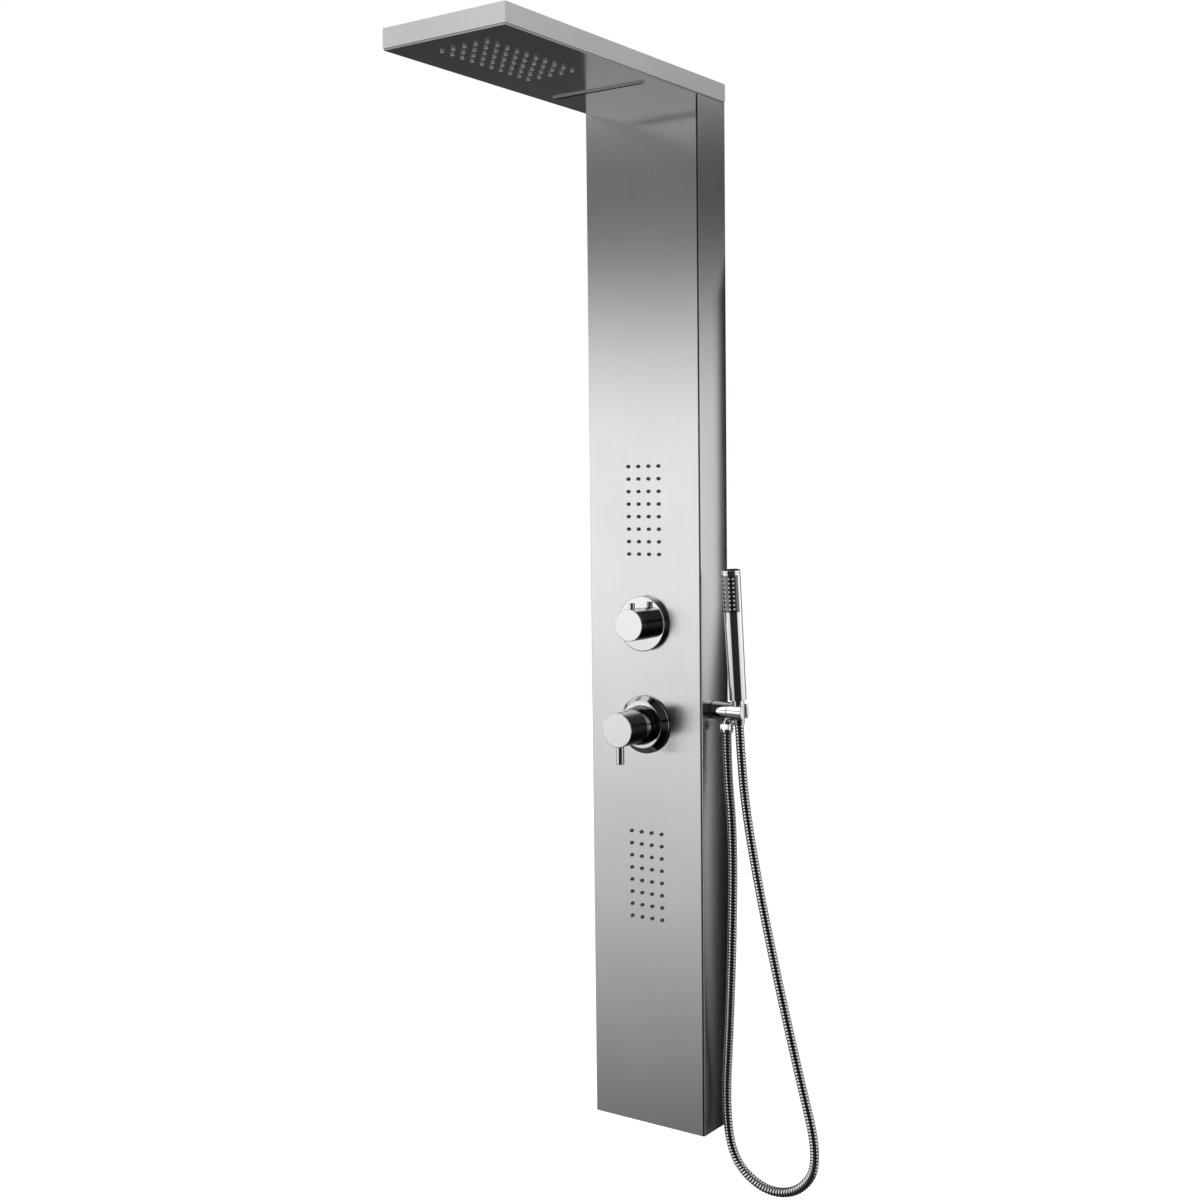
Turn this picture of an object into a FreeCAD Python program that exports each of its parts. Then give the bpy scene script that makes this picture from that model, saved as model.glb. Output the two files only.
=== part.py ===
import FreeCAD, Part
import math
import os
import re
import Sketcher

Vector = FreeCAD.Vector
Rotation = FreeCAD.Rotation

# Shower panel column. The origin is the middle of the upper wall bracket's two fixing holes, on the wall.
# +X is the viewer's right, -Y is away from the wall, +Z is up. All sizes are millimetres and degrees.
driving = {
    # column
    "column_width": 190,
    "column_depth": 73,
    "column_height": 1473,
    "top_rise": 150,
    "sheet_gauge": 1.5,
    "fold_radius": 3,
    "back_lip": 12,
    # head
    "head_width": 192,
    "head_reach": 500,
    "cover_height": 24.5,
    "shadow_gap": 0.7,
    "plate_gauge": 1.8,
    "plate_inset": 0.8,
    "rim_height": 12,
    "head_bolt_dia": 6,
    "head_bolt_x": 70,
    "head_bolt_front": 56,
    "head_bolt_rear": 20,
    "head_bolt_long": 14,
    "bolt_clearance": 0.4,
    # nozzle mats and water boxes
    "mat_gauge": 2,
    "mat_margin": 20,
    "nozzle_base_dia": 5,
    "nozzle_hole_clearance": 0.4,
    "nozzle_bore_dia": 1.4,
    "nozzle_proud": 3,
    "jet_proud": 1.8,
    "box_wall": 2,
    "box_margin": 10,
    "jet_box_depth": 16,
    "rain_box_depth": 20,
    "rain_columns": 5,
    "rain_rows": 10,
    "rain_column_pitch": 17.9,
    "rain_row_pitch": 19.35,
    "rain_centre": 371.6,
    "jet_columns": 4,
    "jet_rows": 8,
    "jet_column_pitch": 17.2,
    "jet_row_pitch": 18,
    "upper_jets_drop": 422.7,
    "lower_jets_drop": 953.4,
    "stud_dia": 4,
    "stud_inset": 5,
    "stud_spare": 3,
    "nut_across": 7,
    "nut_thick": 3.2,
    # waterfall
    "slot_centre": 176,
    "slot_wide": 143,
    "slot_open": 5,
    "lip_wall": 1.5,
    "lip_proud": 2,
    "fall_box_wide": 156,
    "fall_box_long": 32,
    "fall_box_high": 10,
    "fall_inlet_wide": 18,
    "fall_inlet_reach": 8,
    "fall_ear": 12,
    # pipes
    "pipe_dia": 10,
    "pipe_wall": 1,
    "pipe_bend": 22,
    "pipe_offset": 13,
    "pipe_side": 78,
    "pipe_lane": 27,
    "pipe_window": 50,
    "pipe_window_front": 62,
    "pipe_window_rear": 30,
    "link_dia": 15,
    # wall brackets and hangers
    "bracket_width": 120,
    "bracket_height": 40,
    "bracket_gauge": 3,
    "bracket_trough": 5,
    "bracket_hook": 14,
    "hanger_drop": 10,
    "fixing_spacing": 80,
    "fixing_dia": 6.5,
    "lower_bracket_rise": 103,
    "retainer_dia": 4,
    "retainer_head_dia": 7,
    "retainer_head_high": 2.4,
    "retainer_spacing": 60,
    # valves
    "valve_axis_depth": 46,
    "valve_neck_proud": 9,
    "lock_nut_thick": 4,
    "seat_gap": 0.4,
    "running_gap": 0.05,
    "cover_wall": 1.5,
    "diverter_drop": 585.4,
    "diverter_block": 44,
    "diverter_block_depth": 41.5,
    "diverter_neck_dia": 24,
    "diverter_bore_dia": 18,
    "diverter_bore_end": 34,
    "diverter_nut_across": 30,
    "diverter_flange_dia": 80,
    "diverter_flange_thick": 9.7,
    "diverter_flange_rim": 9.3,
    "diverter_flange_round": 1.5,
    "knob_dia": 46,
    "knob_gap": 0.5,
    "knob_front": 42,
    "knob_recess_dia": 30,
    "knob_recess": 4,
    "spindle_dia": 8,
    "spindle_front": 30,
    "spindle_back": 12,
    "knob_edge": 0.8,
    "diverter_pin_dia": 9,
    "diverter_pin_back": 9,
    "diverter_pin_proud": 8.4,
    "diverter_pin_root": 8,
    "grub_dia": 5,
    "grub_long": 9,
    "grub_front": 22,
    # mixer
    "mixer_drop": 731.7,
    "mixer_barrel_dia": 50,
    "mixer_neck_dia": 40,
    "mixer_bore_dia": 35,
    "mixer_bore_end": 45,
    "mixer_barrel_end": 26,
    "mixer_bar_dia": 26,
    "mixer_bar_reach": 65,
    "inlet_spacing": 100,
    "inlet_dia": 20.955,
    "inlet_bore_dia": 15,
    "inlet_face": 14,
    "inlet_thread": 15,
    "inlet_boss_dia": 25,
    "link_boss_dia": 20,
    "link_boss_high": 32,
    "pivot_front": 18,
    "cartridge_neck_dia": 26,
    "cartridge_front_gap": 1,
    "carrier_dia": 22,
    "carrier_long": 5.5,
    "carrier_gap": 0.3,
    "ball_dia": 12,
    "ball_gap": 0.35,
    "trunnion_dia": 2.5,
    "ear_inner": 7,
    "ear_thick": 3,
    "ear_wide": 6,
    "ear_reach": 3.5,
    "stem_dia": 8,
    "stem_front": 60,
    "mixer_nut_wall": 2,
    "collar_dia": 56,
    "collar_wall": 1.8,
    "collar_foot": 6,
    "collar_opening": 34,
    "mixer_flange_dia": 85,
    "mixer_flange_rim": 3.5,
    "mixer_flange_thick": 12.3,
    "mixer_flange_crown": 69,
    "mixer_flange_shoulder": 12.2,
    "mixer_lock_nut_dia": 50,
    "handle_dia": 49.5,
    "handle_back": 33,
    "handle_front": 73.5,
    "handle_sphere_gap": 0.4,
    "handle_edge": 0.8,
    "lever_dia": 11.5,
    "lever_back": 8,
    "lever_proud": 24.5,
    "lever_root": 9,
    "handle_grub_front": 53,
    # outlet arm and the fork at its end
    "arm_offset": 39,
    "outlet_drop": 708.35,
    "arm_dia": 26,
    "arm_end": 121.8,
    "arm_edge": 0.3,
    "shank_dia": 16.66,
    "shank_inside": 17.5,
    "shank_clearance": 0.3,
    "waterway_dia": 8,
    "outlet_x": 116.5,
    "spout_long": 28,
    "seal_thick": 1,
    "back_nut_across": 24,
    "back_nut_thick": 5,
    "stub_dia": 9,
    "stub_long": 3.8,
    "washer_thick": 0.5,
    "washer_dia": 20,
    "fork_x": 135.5,
    "handset_lean": 5.5,
    "fork_dia": 26,
    "fork_end": 10.5,
    "fork_edge": 0.8,
    "fork_slot": 14.6,
    "fork_bore_long": 31,
    "fork_bore_top_dia": 20.4,
    "fork_bore_bottom_dia": 16.8,
    "holder_grub_dia": 2.5,
    "holder_grub_long": 5,
    # hand shower
    "thread_dia": 14.9,
    "thread_end": 2,
    "neck_dia": 17.4,
    "neck_start": 10,
    "body_start": 17.5,
    "body_end": 199,
    "body_bottom_dia": 24.5,
    "body_top_dia": 26.5,
    "end_cap_thick": 4,
    "end_cap_edge": 1.2,
    "spray_start": 143,
    "spray_end": 198,
    "spray_wall": 2.4,
    "spray_angle": 160,
    "spray_columns": 4,
    "spray_rows": 8,
    "spray_column_angle": 27,
    "spray_row_pitch": 6.1,
    "spray_tip_dia": 2.6,
    "spray_tip_proud": 0.8,
    "handset_bore_dia": 18,
    # hose and its nuts
    "hose_dia": 13.5,
    "hose_bore": 9,
    "hose_groove": 0.55,
    "hose_ribs": 200,
    "hose_nut_across": 19,
    "hose_nut_top": 17.7,
    "hose_nut_long": 12.7,
    "hose_nut_floor": 2.2,
    "cone_nut_top": 10,
    "cone_nut_bottom": 18.7,
    "hose_end_gap": 0.3,
    "cone_nut_gap": 0.35,
    "cone_nut_floor": 3,
}

# Places and fits that follow from the driving sizes.
worked_out = {
    "bottom": "top_rise - column_height",
    "lower_bracket_z": "bottom + lower_bracket_rise",
    "front": "-column_depth",
    "behind_front": "sheet_gauge - column_depth",
    "inner_side": "column_width / 2 - sheet_gauge",
    "plate_top": "top_rise + plate_gauge",
    "cover_foot": "plate_top + shadow_gap",
    "cover_top": "cover_foot + cover_height",
    "cover_inner": "head_width / 2 - sheet_gauge",
    "nozzle_hole_dia": "nozzle_base_dia + nozzle_hole_clearance",
    "head_hole_dia": "head_bolt_dia + bolt_clearance",
    "stud_hole_dia": "stud_dia + bolt_clearance",
    "stud_long": "mat_gauge + box_wall + nut_thick + stud_spare",
    "feed_level": "plate_top + fall_box_high + pipe_dia / 2 + 0.7 * sheet_gauge",
    "lip_wide": "slot_wide + 2 * lip_wall",
    "lip_long": "slot_open + 2 * lip_wall",
    "valve_y": "-valve_axis_depth",
    "diverter_z": "-diverter_drop",
    "mixer_z": "-mixer_drop",
    "pivot_y": "front - pivot_front",
    "collar_inner": "collar_dia / 2 - collar_wall",
    "arm_y": "-arm_offset",
    "arm_z": "-outlet_drop",
    "arm_start": "column_width / 2 + seal_thick",
    "fork_left": "arm_end + washer_thick + running_gap - fork_x",
    "cone_slope": "(fork_bore_top_dia - fork_bore_bottom_dia) / 2 / fork_bore_long",
    "cone_mid": "(fork_bore_top_dia + fork_bore_bottom_dia) / 4 - cone_nut_gap",
    "cone_nut_top_radius": "cone_mid + cone_slope * cone_nut_top",
    "cone_nut_bottom_radius": "cone_mid - cone_slope * cone_nut_bottom",
}

doc = FreeCAD.newDocument("shower_panel_column")
sheet = doc.addObject("Spreadsheet::Sheet", "Sizes")
for row, (name, value) in enumerate(driving.items(), start=1):
    sheet.set(f"A{row}", name)
    sheet.set(f"B{row}", str(value))
    sheet.setAlias(f"B{row}", name)
doc.recompute()
size = {name: float(sheet.get(name)) for name in driving}

up = Rotation()
frontward = Rotation(Vector(1, 0, 0), 90)
backward = Rotation(Vector(1, 0, 0), -90)
rightward = Rotation(Vector(0, 1, 0), 90)
downward = Rotation(Vector(1, 0, 0), 180)

nodes = {}
match = 0.01  # how near an edge lies to the place that names it


def sized(text):
    """Write a rule with the sheet's cells in place of the names it uses."""
    def cell(word):
        name = word[0]
        if name in worked_out:
            return f"({sized(worked_out[name])})"
        return f"Sizes.{name}" if name in driving else name
    return re.sub(r"[a-z][a-z_]*", cell, str(text))


def bind(item, **rules):
    for prop, rule in rules.items():
        item.setExpression(prop, sized(rule))


def put(item, at=(0, 0, 0), turned=up):
    item.Placement = FreeCAD.Placement(Vector(), turned)
    for axis, rule in zip("xyz", at):
        item.setExpression(f"Placement.Base.{axis}", sized(rule))


def node(name, item):
    item.Label = name
    nodes[name] = item
    return item


def box(x, y, z):
    """A block between two rules on each axis."""
    item = doc.addObject("Part::Box", "block")
    spans = {"Length": x, "Width": y, "Height": z}
    for prop, (low, high) in spans.items():
        item.setExpression(prop, sized(f"({high}) - ({low})"))
    put(item, (x[0], y[0], z[0]))
    return item


def rod(dia, long, at=(0, 0, 0), turned=up):
    item = doc.addObject("Part::Cylinder", "rod")
    bind(item, Radius=f"({dia}) / 2", Height=long)
    put(item, at, turned)
    return item


def cone(radius, end_radius, long, at=(0, 0, 0), turned=up):
    item = doc.addObject("Part::Cone", "cone")
    bind(item, Radius1=radius, Radius2=end_radius, Height=long)
    put(item, at, turned)
    return item


def ball(dia, at=(0, 0, 0), turned=up, half=False):
    item = doc.addObject("Part::Sphere", "ball")
    item.Angle1 = 0 if half else -90
    bind(item, Radius=f"({dia}) / 2")
    put(item, at, turned)
    return item


def hexagon(across, long, at=(0, 0, 0), turned=up):
    item = doc.addObject("Part::Prism", "hexagon")
    item.Polygon = 6
    bind(item, Circumradius=f"({across}) / 2 / cos(30)", Height=long)
    put(item, at, turned)
    return item


def joined(*pieces):
    item = doc.addObject("Part::MultiFuse", "joined")
    item.Shapes = list(pieces)
    return item


def cut(base, *tools):
    item = doc.addObject("Part::Cut", "cut")
    item.Base = base
    item.Tool = tools[0] if len(tools) == 1 else joined(*tools)
    return item


def tube(dia, bore, long, at=(0, 0, 0), turned=up):
    return cut(rod(dia, long, at, turned), rod(bore, long, at, turned))


def hex_nut(across, bore, long, at=(0, 0, 0), turned=up):
    return cut(hexagon(across, long, at, turned), rod(bore, long, at, turned))


def plane(body, role):
    return next(item for item in body.Origin.OriginFeatures if item.Role == role)


def bare_body(at=(0, 0, 0), turned=up):
    body = doc.addObject("PartDesign::Body", "body")
    put(body, at, turned)
    return body


def new_body(name, at=(0, 0, 0), turned=up):
    return node(name, bare_body(at, turned))


def new_sketch(body, role, offset="0"):
    sketch = body.newObject("Sketcher::SketchObject", "sketch")
    sketch.AttachmentSupport = [(plane(body, role), "")]
    sketch.MapMode = "FlatFace"
    sketch.setExpression("AttachmentOffset.Base.z", sized(offset))
    return sketch


def hold(sketch, kind, rule, *where):
    """Add one dimension to a sketch, bound to a rule."""
    index = sketch.addConstraint(Sketcher.Constraint(kind, *where, 1.0))
    sketch.setExpression(f"Constraints[{index}]", sized(rule))


def outline(sketch, points):
    """A closed run of straight lines through points whose two places are rules."""
    first = sketch.GeometryCount
    count = len(points)
    for step in range(count):
        following = (step + 1) % count
        start = Vector(step, step * step, 0)
        end = Vector(following, following * following, 0)
        sketch.addGeometry(Part.LineSegment(start, end), False)
    for step in range(count):
        following = first + (step + 1) % count
        sketch.addConstraint(Sketcher.Constraint("Coincident", first + step, 2, following, 1))
    for step, (across, along) in enumerate(points):
        hold(sketch, "DistanceX", across, -1, 1, first + step, 1)
        hold(sketch, "DistanceY", along, -1, 1, first + step, 1)


def oblong(sketch, x, y):
    outline(sketch, [(x[0], y[0]), (x[1], y[0]), (x[1], y[1]), (x[0], y[1])])


def circle(sketch, dia, across, along):
    index = sketch.addGeometry(Part.Circle(Vector(1, 1, 0), Vector(0, 0, 1), 2), False)
    hold(sketch, "DistanceX", across, -1, 1, index, 3)
    hold(sketch, "DistanceY", along, -1, 1, index, 3)
    hold(sketch, "Diameter", dia, index)


def feature(body, kind, sketch, long, reverse=False):
    item = body.newObject(f"PartDesign::{kind}", kind.lower())
    item.Profile = sketch
    item.Reversed = reverse
    bind(item, Length=long)
    return item


def grid(body, sketch, item, across, along):
    """Repeat a feature in columns and rows, given as (pitch, count)."""
    repeated = body.newObject("PartDesign::MultiTransform", "grid")
    repeated.Originals = [item]
    steps = []
    for axis, (pitch, count) in (("H_Axis", across), ("V_Axis", along)):
        step = body.newObject("PartDesign::LinearPattern", "row")
        step.Direction = (sketch, [axis])
        bind(step, Length=f"{pitch} * ({count} - 1)", Occurrences=count)
        steps.append(step)
    repeated.Transformations = steps
    body.Tip = repeated


def lathe(profile, at, turned=frontward, role="XZ_Plane"):
    """A body turned on a lathe: its profile is (radius, distance along its axis) rules."""
    body = bare_body(at, turned)
    sketch = new_sketch(body, role)
    outline(sketch, profile)
    spun = body.newObject("PartDesign::Revolution", "spun")
    spun.Profile = sketch
    spun.ReferenceAxis = (sketch, ["V_Axis"])
    return body


def pin(dia, long, edge, at, turned=frontward):
    """A solid turned bar with a bevelled far end."""
    radius = f"({dia}) / 2"
    return lathe([("0", "0"), (radius, "0"), (radius, f"({long}) - ({edge})"),
                  (f"{radius} - ({edge})", long), ("0", long)], at, turned)


def fillet(body, radius, chosen):
    """Round the body's edges that the test chooses."""
    names = [f"Edge{index}" for index, edge in enumerate(body.Shape.Edges, start=1) if chosen(edge)]
    base = body.Tip
    item = body.newObject("PartDesign::Fillet", "rounding")
    item.Base = (base, names)
    bind(item, Radius=radius)


def rounded(body, radius, dia, along):
    """Round a circular edge, given by its diameter and its distance along the body's axis."""
    doc.recompute()
    home = body.Placement.inverse()
    wanted = (amount(dia) / 2, amount(along))

    def on_rim(edge):
        curve = edge.Curve
        return isinstance(curve, Part.Circle) and \
            math.dist((curve.Radius, home.multVec(curve.Center).z), wanted) < match
    fillet(body, radius, on_rim)


def folded(body, radius, x, y):
    """Round the two upright edges that stand at a place and at its mirror image."""
    doc.recompute()
    places = [(amount(side), amount(y)) for side in (x, f"-({x})")]

    def on_fold(edge):
        return any(all(math.dist((end.X, end.Y), place) < match for end in edge.Vertexes) for place in places)
    fillet(body, radius, on_fold)


def amount(rule):
    """The present value of a rule, read through a scratch cell-bound length."""
    probe = doc.addObject("Part::Sphere", "probe")
    probe.setExpression("Placement.Base.x", sized(rule))
    probe.recompute()
    value = probe.Placement.Base.x
    doc.removeObject(probe.Name)
    return value


# ---- column --------------------------------------------------------------------------------------

def column_shell():
    body = new_body("column_shell", (0, 0, "bottom"))
    side = "column_width / 2"
    fold = f"{side} - back_lip"
    half = [(side, "0"), (fold, "0"), (fold, "-sheet_gauge"), ("inner_side", "-sheet_gauge"),
            ("inner_side", "behind_front")]
    mirrored = [(f"-({x})", y) for x, y in reversed(half)]
    section = new_sketch(body, "XY_Plane")
    outline(section, [(f"-({side})", "front"), (side, "front")] + half + mirrored)
    feature(body, "Pad", section, "column_height")
    folded(body, "fold_radius", side, "front")
    folded(body, "fold_radius - sheet_gauge", "inner_side", "behind_front")
    top = new_sketch(body, "XY_Plane", "column_height")
    oblong(top, ("-inner_side", "inner_side"), ("behind_front", "-sheet_gauge"))
    feature(body, "Pad", top, "sheet_gauge", reverse=True)
    deep = "2 * sheet_gauge"
    window = new_sketch(body, "XY_Plane", "column_height")
    oblong(window, ("-pipe_window / 2", "pipe_window / 2"), ("-pipe_window_front", "-pipe_window_rear"))
    for x in ("-head_bolt_x", "head_bolt_x"):
        for y in ("-head_bolt_front", "-head_bolt_rear"):
            circle(window, "head_hole_dia", x, y)
    feature(body, "Pocket", window, deep)
    valves = new_sketch(body, "XZ_Plane", "column_depth")
    circle(valves, "diverter_neck_dia + seat_gap", "0", "diverter_z - bottom")
    circle(valves, "mixer_neck_dia + seat_gap", "0", "mixer_z - bottom")
    feature(body, "Pocket", valves, deep)
    outlet = new_sketch(body, "YZ_Plane", "column_width / 2")
    circle(outlet, "shank_dia + shank_clearance", "arm_y", "arm_z - bottom")
    feature(body, "Pocket", outlet, deep)
    for drop in ("upper_jets_drop", "lower_jets_drop"):
        holes = new_sketch(body, "XZ_Plane", "column_depth")
        circle(holes, "nozzle_hole_dia", "-jet_column_pitch * (jet_columns - 1) / 2",
               f"-{drop} - jet_row_pitch * (jet_rows - 1) / 2 - bottom")
        hole = feature(body, "Pocket", holes, deep)
        grid(body, holes, hole, ("jet_column_pitch", "jet_columns"), ("jet_row_pitch", "jet_rows"))


def wall_fixing(prefix, level):
    """A hooked wall bracket and the hanger strip of the column that hangs on it."""
    hook_back = "bracket_gauge + bracket_trough"
    hook_front = f"{hook_back} + bracket_gauge"
    edge = "bracket_height / 2"
    hook_top = f"{edge} + bracket_hook"
    bracket = new_body(f"{prefix}_wall_bracket", (0, 0, level))
    section = new_sketch(bracket, "YZ_Plane", "-bracket_width / 2")
    outline(section, [
        ("0", f"-{edge}"), ("0", edge), (f"-({hook_back})", edge), (f"-({hook_back})", hook_top),
        (f"-({hook_front})", hook_top), (f"-({hook_front})", f"{edge} - bracket_gauge"),
        ("-bracket_gauge", f"{edge} - bracket_gauge"), ("-bracket_gauge", f"-{edge}")])
    feature(bracket, "Pad", section, "bracket_width")
    fixings = new_sketch(bracket, "XZ_Plane", "2 * bracket_gauge")
    threads = new_sketch(bracket, "XZ_Plane", f"{hook_front} + bracket_gauge")
    for x in ("-1", "1"):
        circle(fixings, "fixing_dia", f"{x} * fixing_spacing / 2", "0")
        circle(threads, "retainer_dia", f"{x} * retainer_spacing / 2", f"{edge} + bracket_hook / 2")
    feature(bracket, "Pocket", fixings, "3 * bracket_gauge")
    feature(bracket, "Pocket", threads, "3 * bracket_gauge")

    hanger = new_body(f"{prefix}_panel_hanger", (0, 0, level))
    hanger_front = f"{hook_front} + bracket_gauge"
    hanger_top = f"{hook_top} + bracket_gauge"
    section = new_sketch(hanger, "YZ_Plane", "-inner_side")
    outline(section, [
        (f"-({hanger_front})", "-hanger_drop"), (f"-({hanger_front})", hanger_top),
        ("-bracket_trough", hanger_top), ("-bracket_trough", edge), (f"-({hook_back})", edge),
        (f"-({hook_back})", hook_top), (f"-({hook_front})", hook_top), (f"-({hook_front})", "-hanger_drop")])
    feature(hanger, "Pad", section, "2 * inner_side")
    holes = new_sketch(hanger, "XZ_Plane", f"{hanger_front} + bracket_gauge")
    for x in ("-1", "1"):
        circle(holes, "retainer_dia", f"{x} * retainer_spacing / 2", f"{edge} + bracket_hook / 2")
    feature(hanger, "Pocket", holes, "2.5 * bracket_gauge")

    screws = []
    for x in ("-1", "1"):
        place = (f"{x} * retainer_spacing / 2", f"-({hook_back})", f"{level} + {edge} + bracket_hook / 2")
        screws.append(rod("retainer_dia", "2 * bracket_gauge", place, frontward))
        head = (place[0], f"-({hanger_front})", place[2])
        screws.append(rod("retainer_head_dia", "retainer_head_high", head, frontward))
    return screws


def column():
    column_shell()
    plate = new_body("bottom_end_plate", (0, 0, "bottom"))
    edge = new_sketch(plate, "XY_Plane")
    oblong(edge, ("-inner_side", "inner_side"), ("behind_front", "-sheet_gauge"))
    feature(plate, "Pad", edge, "sheet_gauge")
    folded(plate, "fold_radius - sheet_gauge", "inner_side", "behind_front")
    screws = wall_fixing("upper", "0") + wall_fixing("lower", "lower_bracket_z")
    node("bracket_retaining_screws", joined(*screws))


# ---- nozzle mats and their water boxes -----------------------------------------------------------

def half_mat(pitch, count):
    return f"({pitch} * ({count} - 1) / 2 + mat_margin)"


def half_box(pitch, count):
    return f"({pitch} * ({count} - 1) / 2 + box_margin)"


def stud_places(across, along):
    """The four corners of a mat, where its studs stand, in the mat's own plane."""
    wide = f"({half_mat(*across)} - stud_inset)"
    high = f"({half_mat(*along)} - stud_inset)"
    return [(x + wide, z + high) for x in ("-", "") for z in ("-", "")]


def nozzle_mat(name, across, along, gauge, proud, at, turned=up):
    """A silicone mat behind a sheet, whose nipples pass through the sheet's holes towards its own -Y."""
    body = new_body(name, at, turned)
    wide = half_mat(*across)
    high = half_mat(*along)
    mat = new_sketch(body, "XZ_Plane")
    oblong(mat, (f"-{wide}", wide), (f"-{high}", high))
    for x, z in stud_places(across, along):
        circle(mat, "stud_hole_dia", x, z)
    feature(body, "Pad", mat, "mat_gauge", reverse=True)
    corner = (f"-{across[0]} * ({across[1]} - 1) / 2", f"-{along[0]} * ({along[1]} - 1) / 2")
    tips = new_sketch(body, "XZ_Plane")
    circle(tips, "nozzle_base_dia", *corner)
    tip = feature(body, "Pad", tips, f"{gauge} + {proud}")
    grid(body, tips, tip, across, along)
    bores = new_sketch(body, "XZ_Plane", f"{gauge} + {proud}")
    circle(bores, "nozzle_bore_dia", *corner)
    bore = feature(body, "Pocket", bores, f"{gauge} + {proud} + mat_gauge")
    grid(body, bores, bore, across, along)


def water_box(name, across, along, deep, inlet_end, level, at, turned=up):
    """A box open towards the mat, with a flange on the mat's edge and an inlet at one end."""
    body = new_body(name, at, turned)
    wide = half_mat(*across)
    high = half_mat(*along)
    outer = (half_box(*across), half_box(*along))
    flange = new_sketch(body, "XZ_Plane", "-mat_gauge")
    oblong(flange, (f"-{wide}", wide), (f"-{high}", high))
    for x, z in stud_places(across, along):
        circle(flange, "stud_hole_dia", x, z)
    feature(body, "Pad", flange, "box_wall", reverse=True)
    hull = new_sketch(body, "XZ_Plane", "-mat_gauge")
    oblong(hull, (f"-{outer[0]}", outer[0]), (f"-{outer[1]}", outer[1]))
    feature(body, "Pad", hull, deep, reverse=True)
    hollow = new_sketch(body, "XZ_Plane", "-mat_gauge")
    inner = [f"({rule} - box_wall)" for rule in outer]
    oblong(hollow, (f"-{inner[0]}", inner[0]), (f"-{inner[1]}", inner[1]))
    feature(body, "Pocket", hollow, f"{deep} - box_wall")
    end = new_sketch(body, "XY_Plane", f"{inlet_end} * ({outer[1]} + box_wall)")
    circle(end, "pipe_dia - 2 * pipe_wall", *level)
    feature(body, "Pocket", end, "3 * box_wall", reverse=inlet_end == "-1")


jet_grid = (("jet_column_pitch", "jet_columns"), ("jet_row_pitch", "jet_rows"))
rain_grid = (("rain_column_pitch", "rain_columns"), ("rain_row_pitch", "rain_rows"))


def jets():
    studs = []
    nuts = []
    for prefix, inlet_end in (("upper", "-1"), ("lower", "1")):
        level = f"-{prefix}_jets_drop"
        at = ("0", "behind_front", level)
        nozzle_mat(f"{prefix}_jet_mat", *jet_grid, "sheet_gauge", "jet_proud", at)
        water_box(f"{prefix}_jet_box", *jet_grid, "jet_box_depth", inlet_end,
                  ("-pipe_offset", "mat_gauge + jet_box_depth / 2"), at)
        for x, z in stud_places(*jet_grid):
            height = f"{level} + {z}"
            studs.append(rod("stud_dia", "stud_long", (x, "behind_front", height), backward))
            nuts.append(hex_nut("nut_across", "stud_dia", "nut_thick",
                                (x, "behind_front + mat_gauge + box_wall", height), backward))
    return studs, nuts


# ---- head ----------------------------------------------------------------------------------------

def head_plate():
    body = new_body("head_plate", (0, 0, "top_rise"))
    side = "(head_width / 2 - plate_inset)"
    sheet_outline = new_sketch(body, "XY_Plane")
    oblong(sheet_outline, (f"-{side}", side), ("plate_inset - head_reach", "-plate_inset"))
    feature(body, "Pad", sheet_outline, "plate_gauge")
    rim = new_sketch(body, "XY_Plane")
    for inset in ("0", "sheet_gauge"):
        edge = f"(cover_inner - {inset})"
        oblong(rim, (f"-{edge}", edge),
               (f"sheet_gauge + {inset} - head_reach", f"-sheet_gauge - {inset}"))
    feature(body, "Pad", rim, "plate_gauge + rim_height")
    deep = "2 * plate_gauge"
    openings = new_sketch(body, "XY_Plane", "1.5 * plate_gauge")
    oblong(openings, ("-pipe_window / 2", "pipe_window / 2"), ("-pipe_window_front", "-pipe_window_rear"))
    oblong(openings, ("-lip_wide / 2", "lip_wide / 2"),
           ("-slot_centre - lip_long / 2", "-slot_centre + lip_long / 2"))
    for x in ("-head_bolt_x", "head_bolt_x"):
        for y in ("-head_bolt_front", "-head_bolt_rear"):
            circle(openings, "head_hole_dia", x, y)
    feature(body, "Pocket", openings, deep)
    holes = new_sketch(body, "XY_Plane", "1.5 * plate_gauge")
    circle(holes, "nozzle_hole_dia", "-rain_column_pitch * (rain_columns - 1) / 2",
           "-rain_centre - rain_row_pitch * (rain_rows - 1) / 2")
    hole = feature(body, "Pocket", holes, deep)
    grid(body, holes, hole, *rain_grid)


def head_cover():
    outer = box(("-head_width / 2", "head_width / 2"), ("-head_reach", "0"), ("cover_foot", "cover_top"))
    inner = box(("-cover_inner", "cover_inner"), ("sheet_gauge - head_reach", "-sheet_gauge"),
                ("cover_foot", "cover_top - sheet_gauge"))
    node("head_cover", cut(outer, inner))


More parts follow.
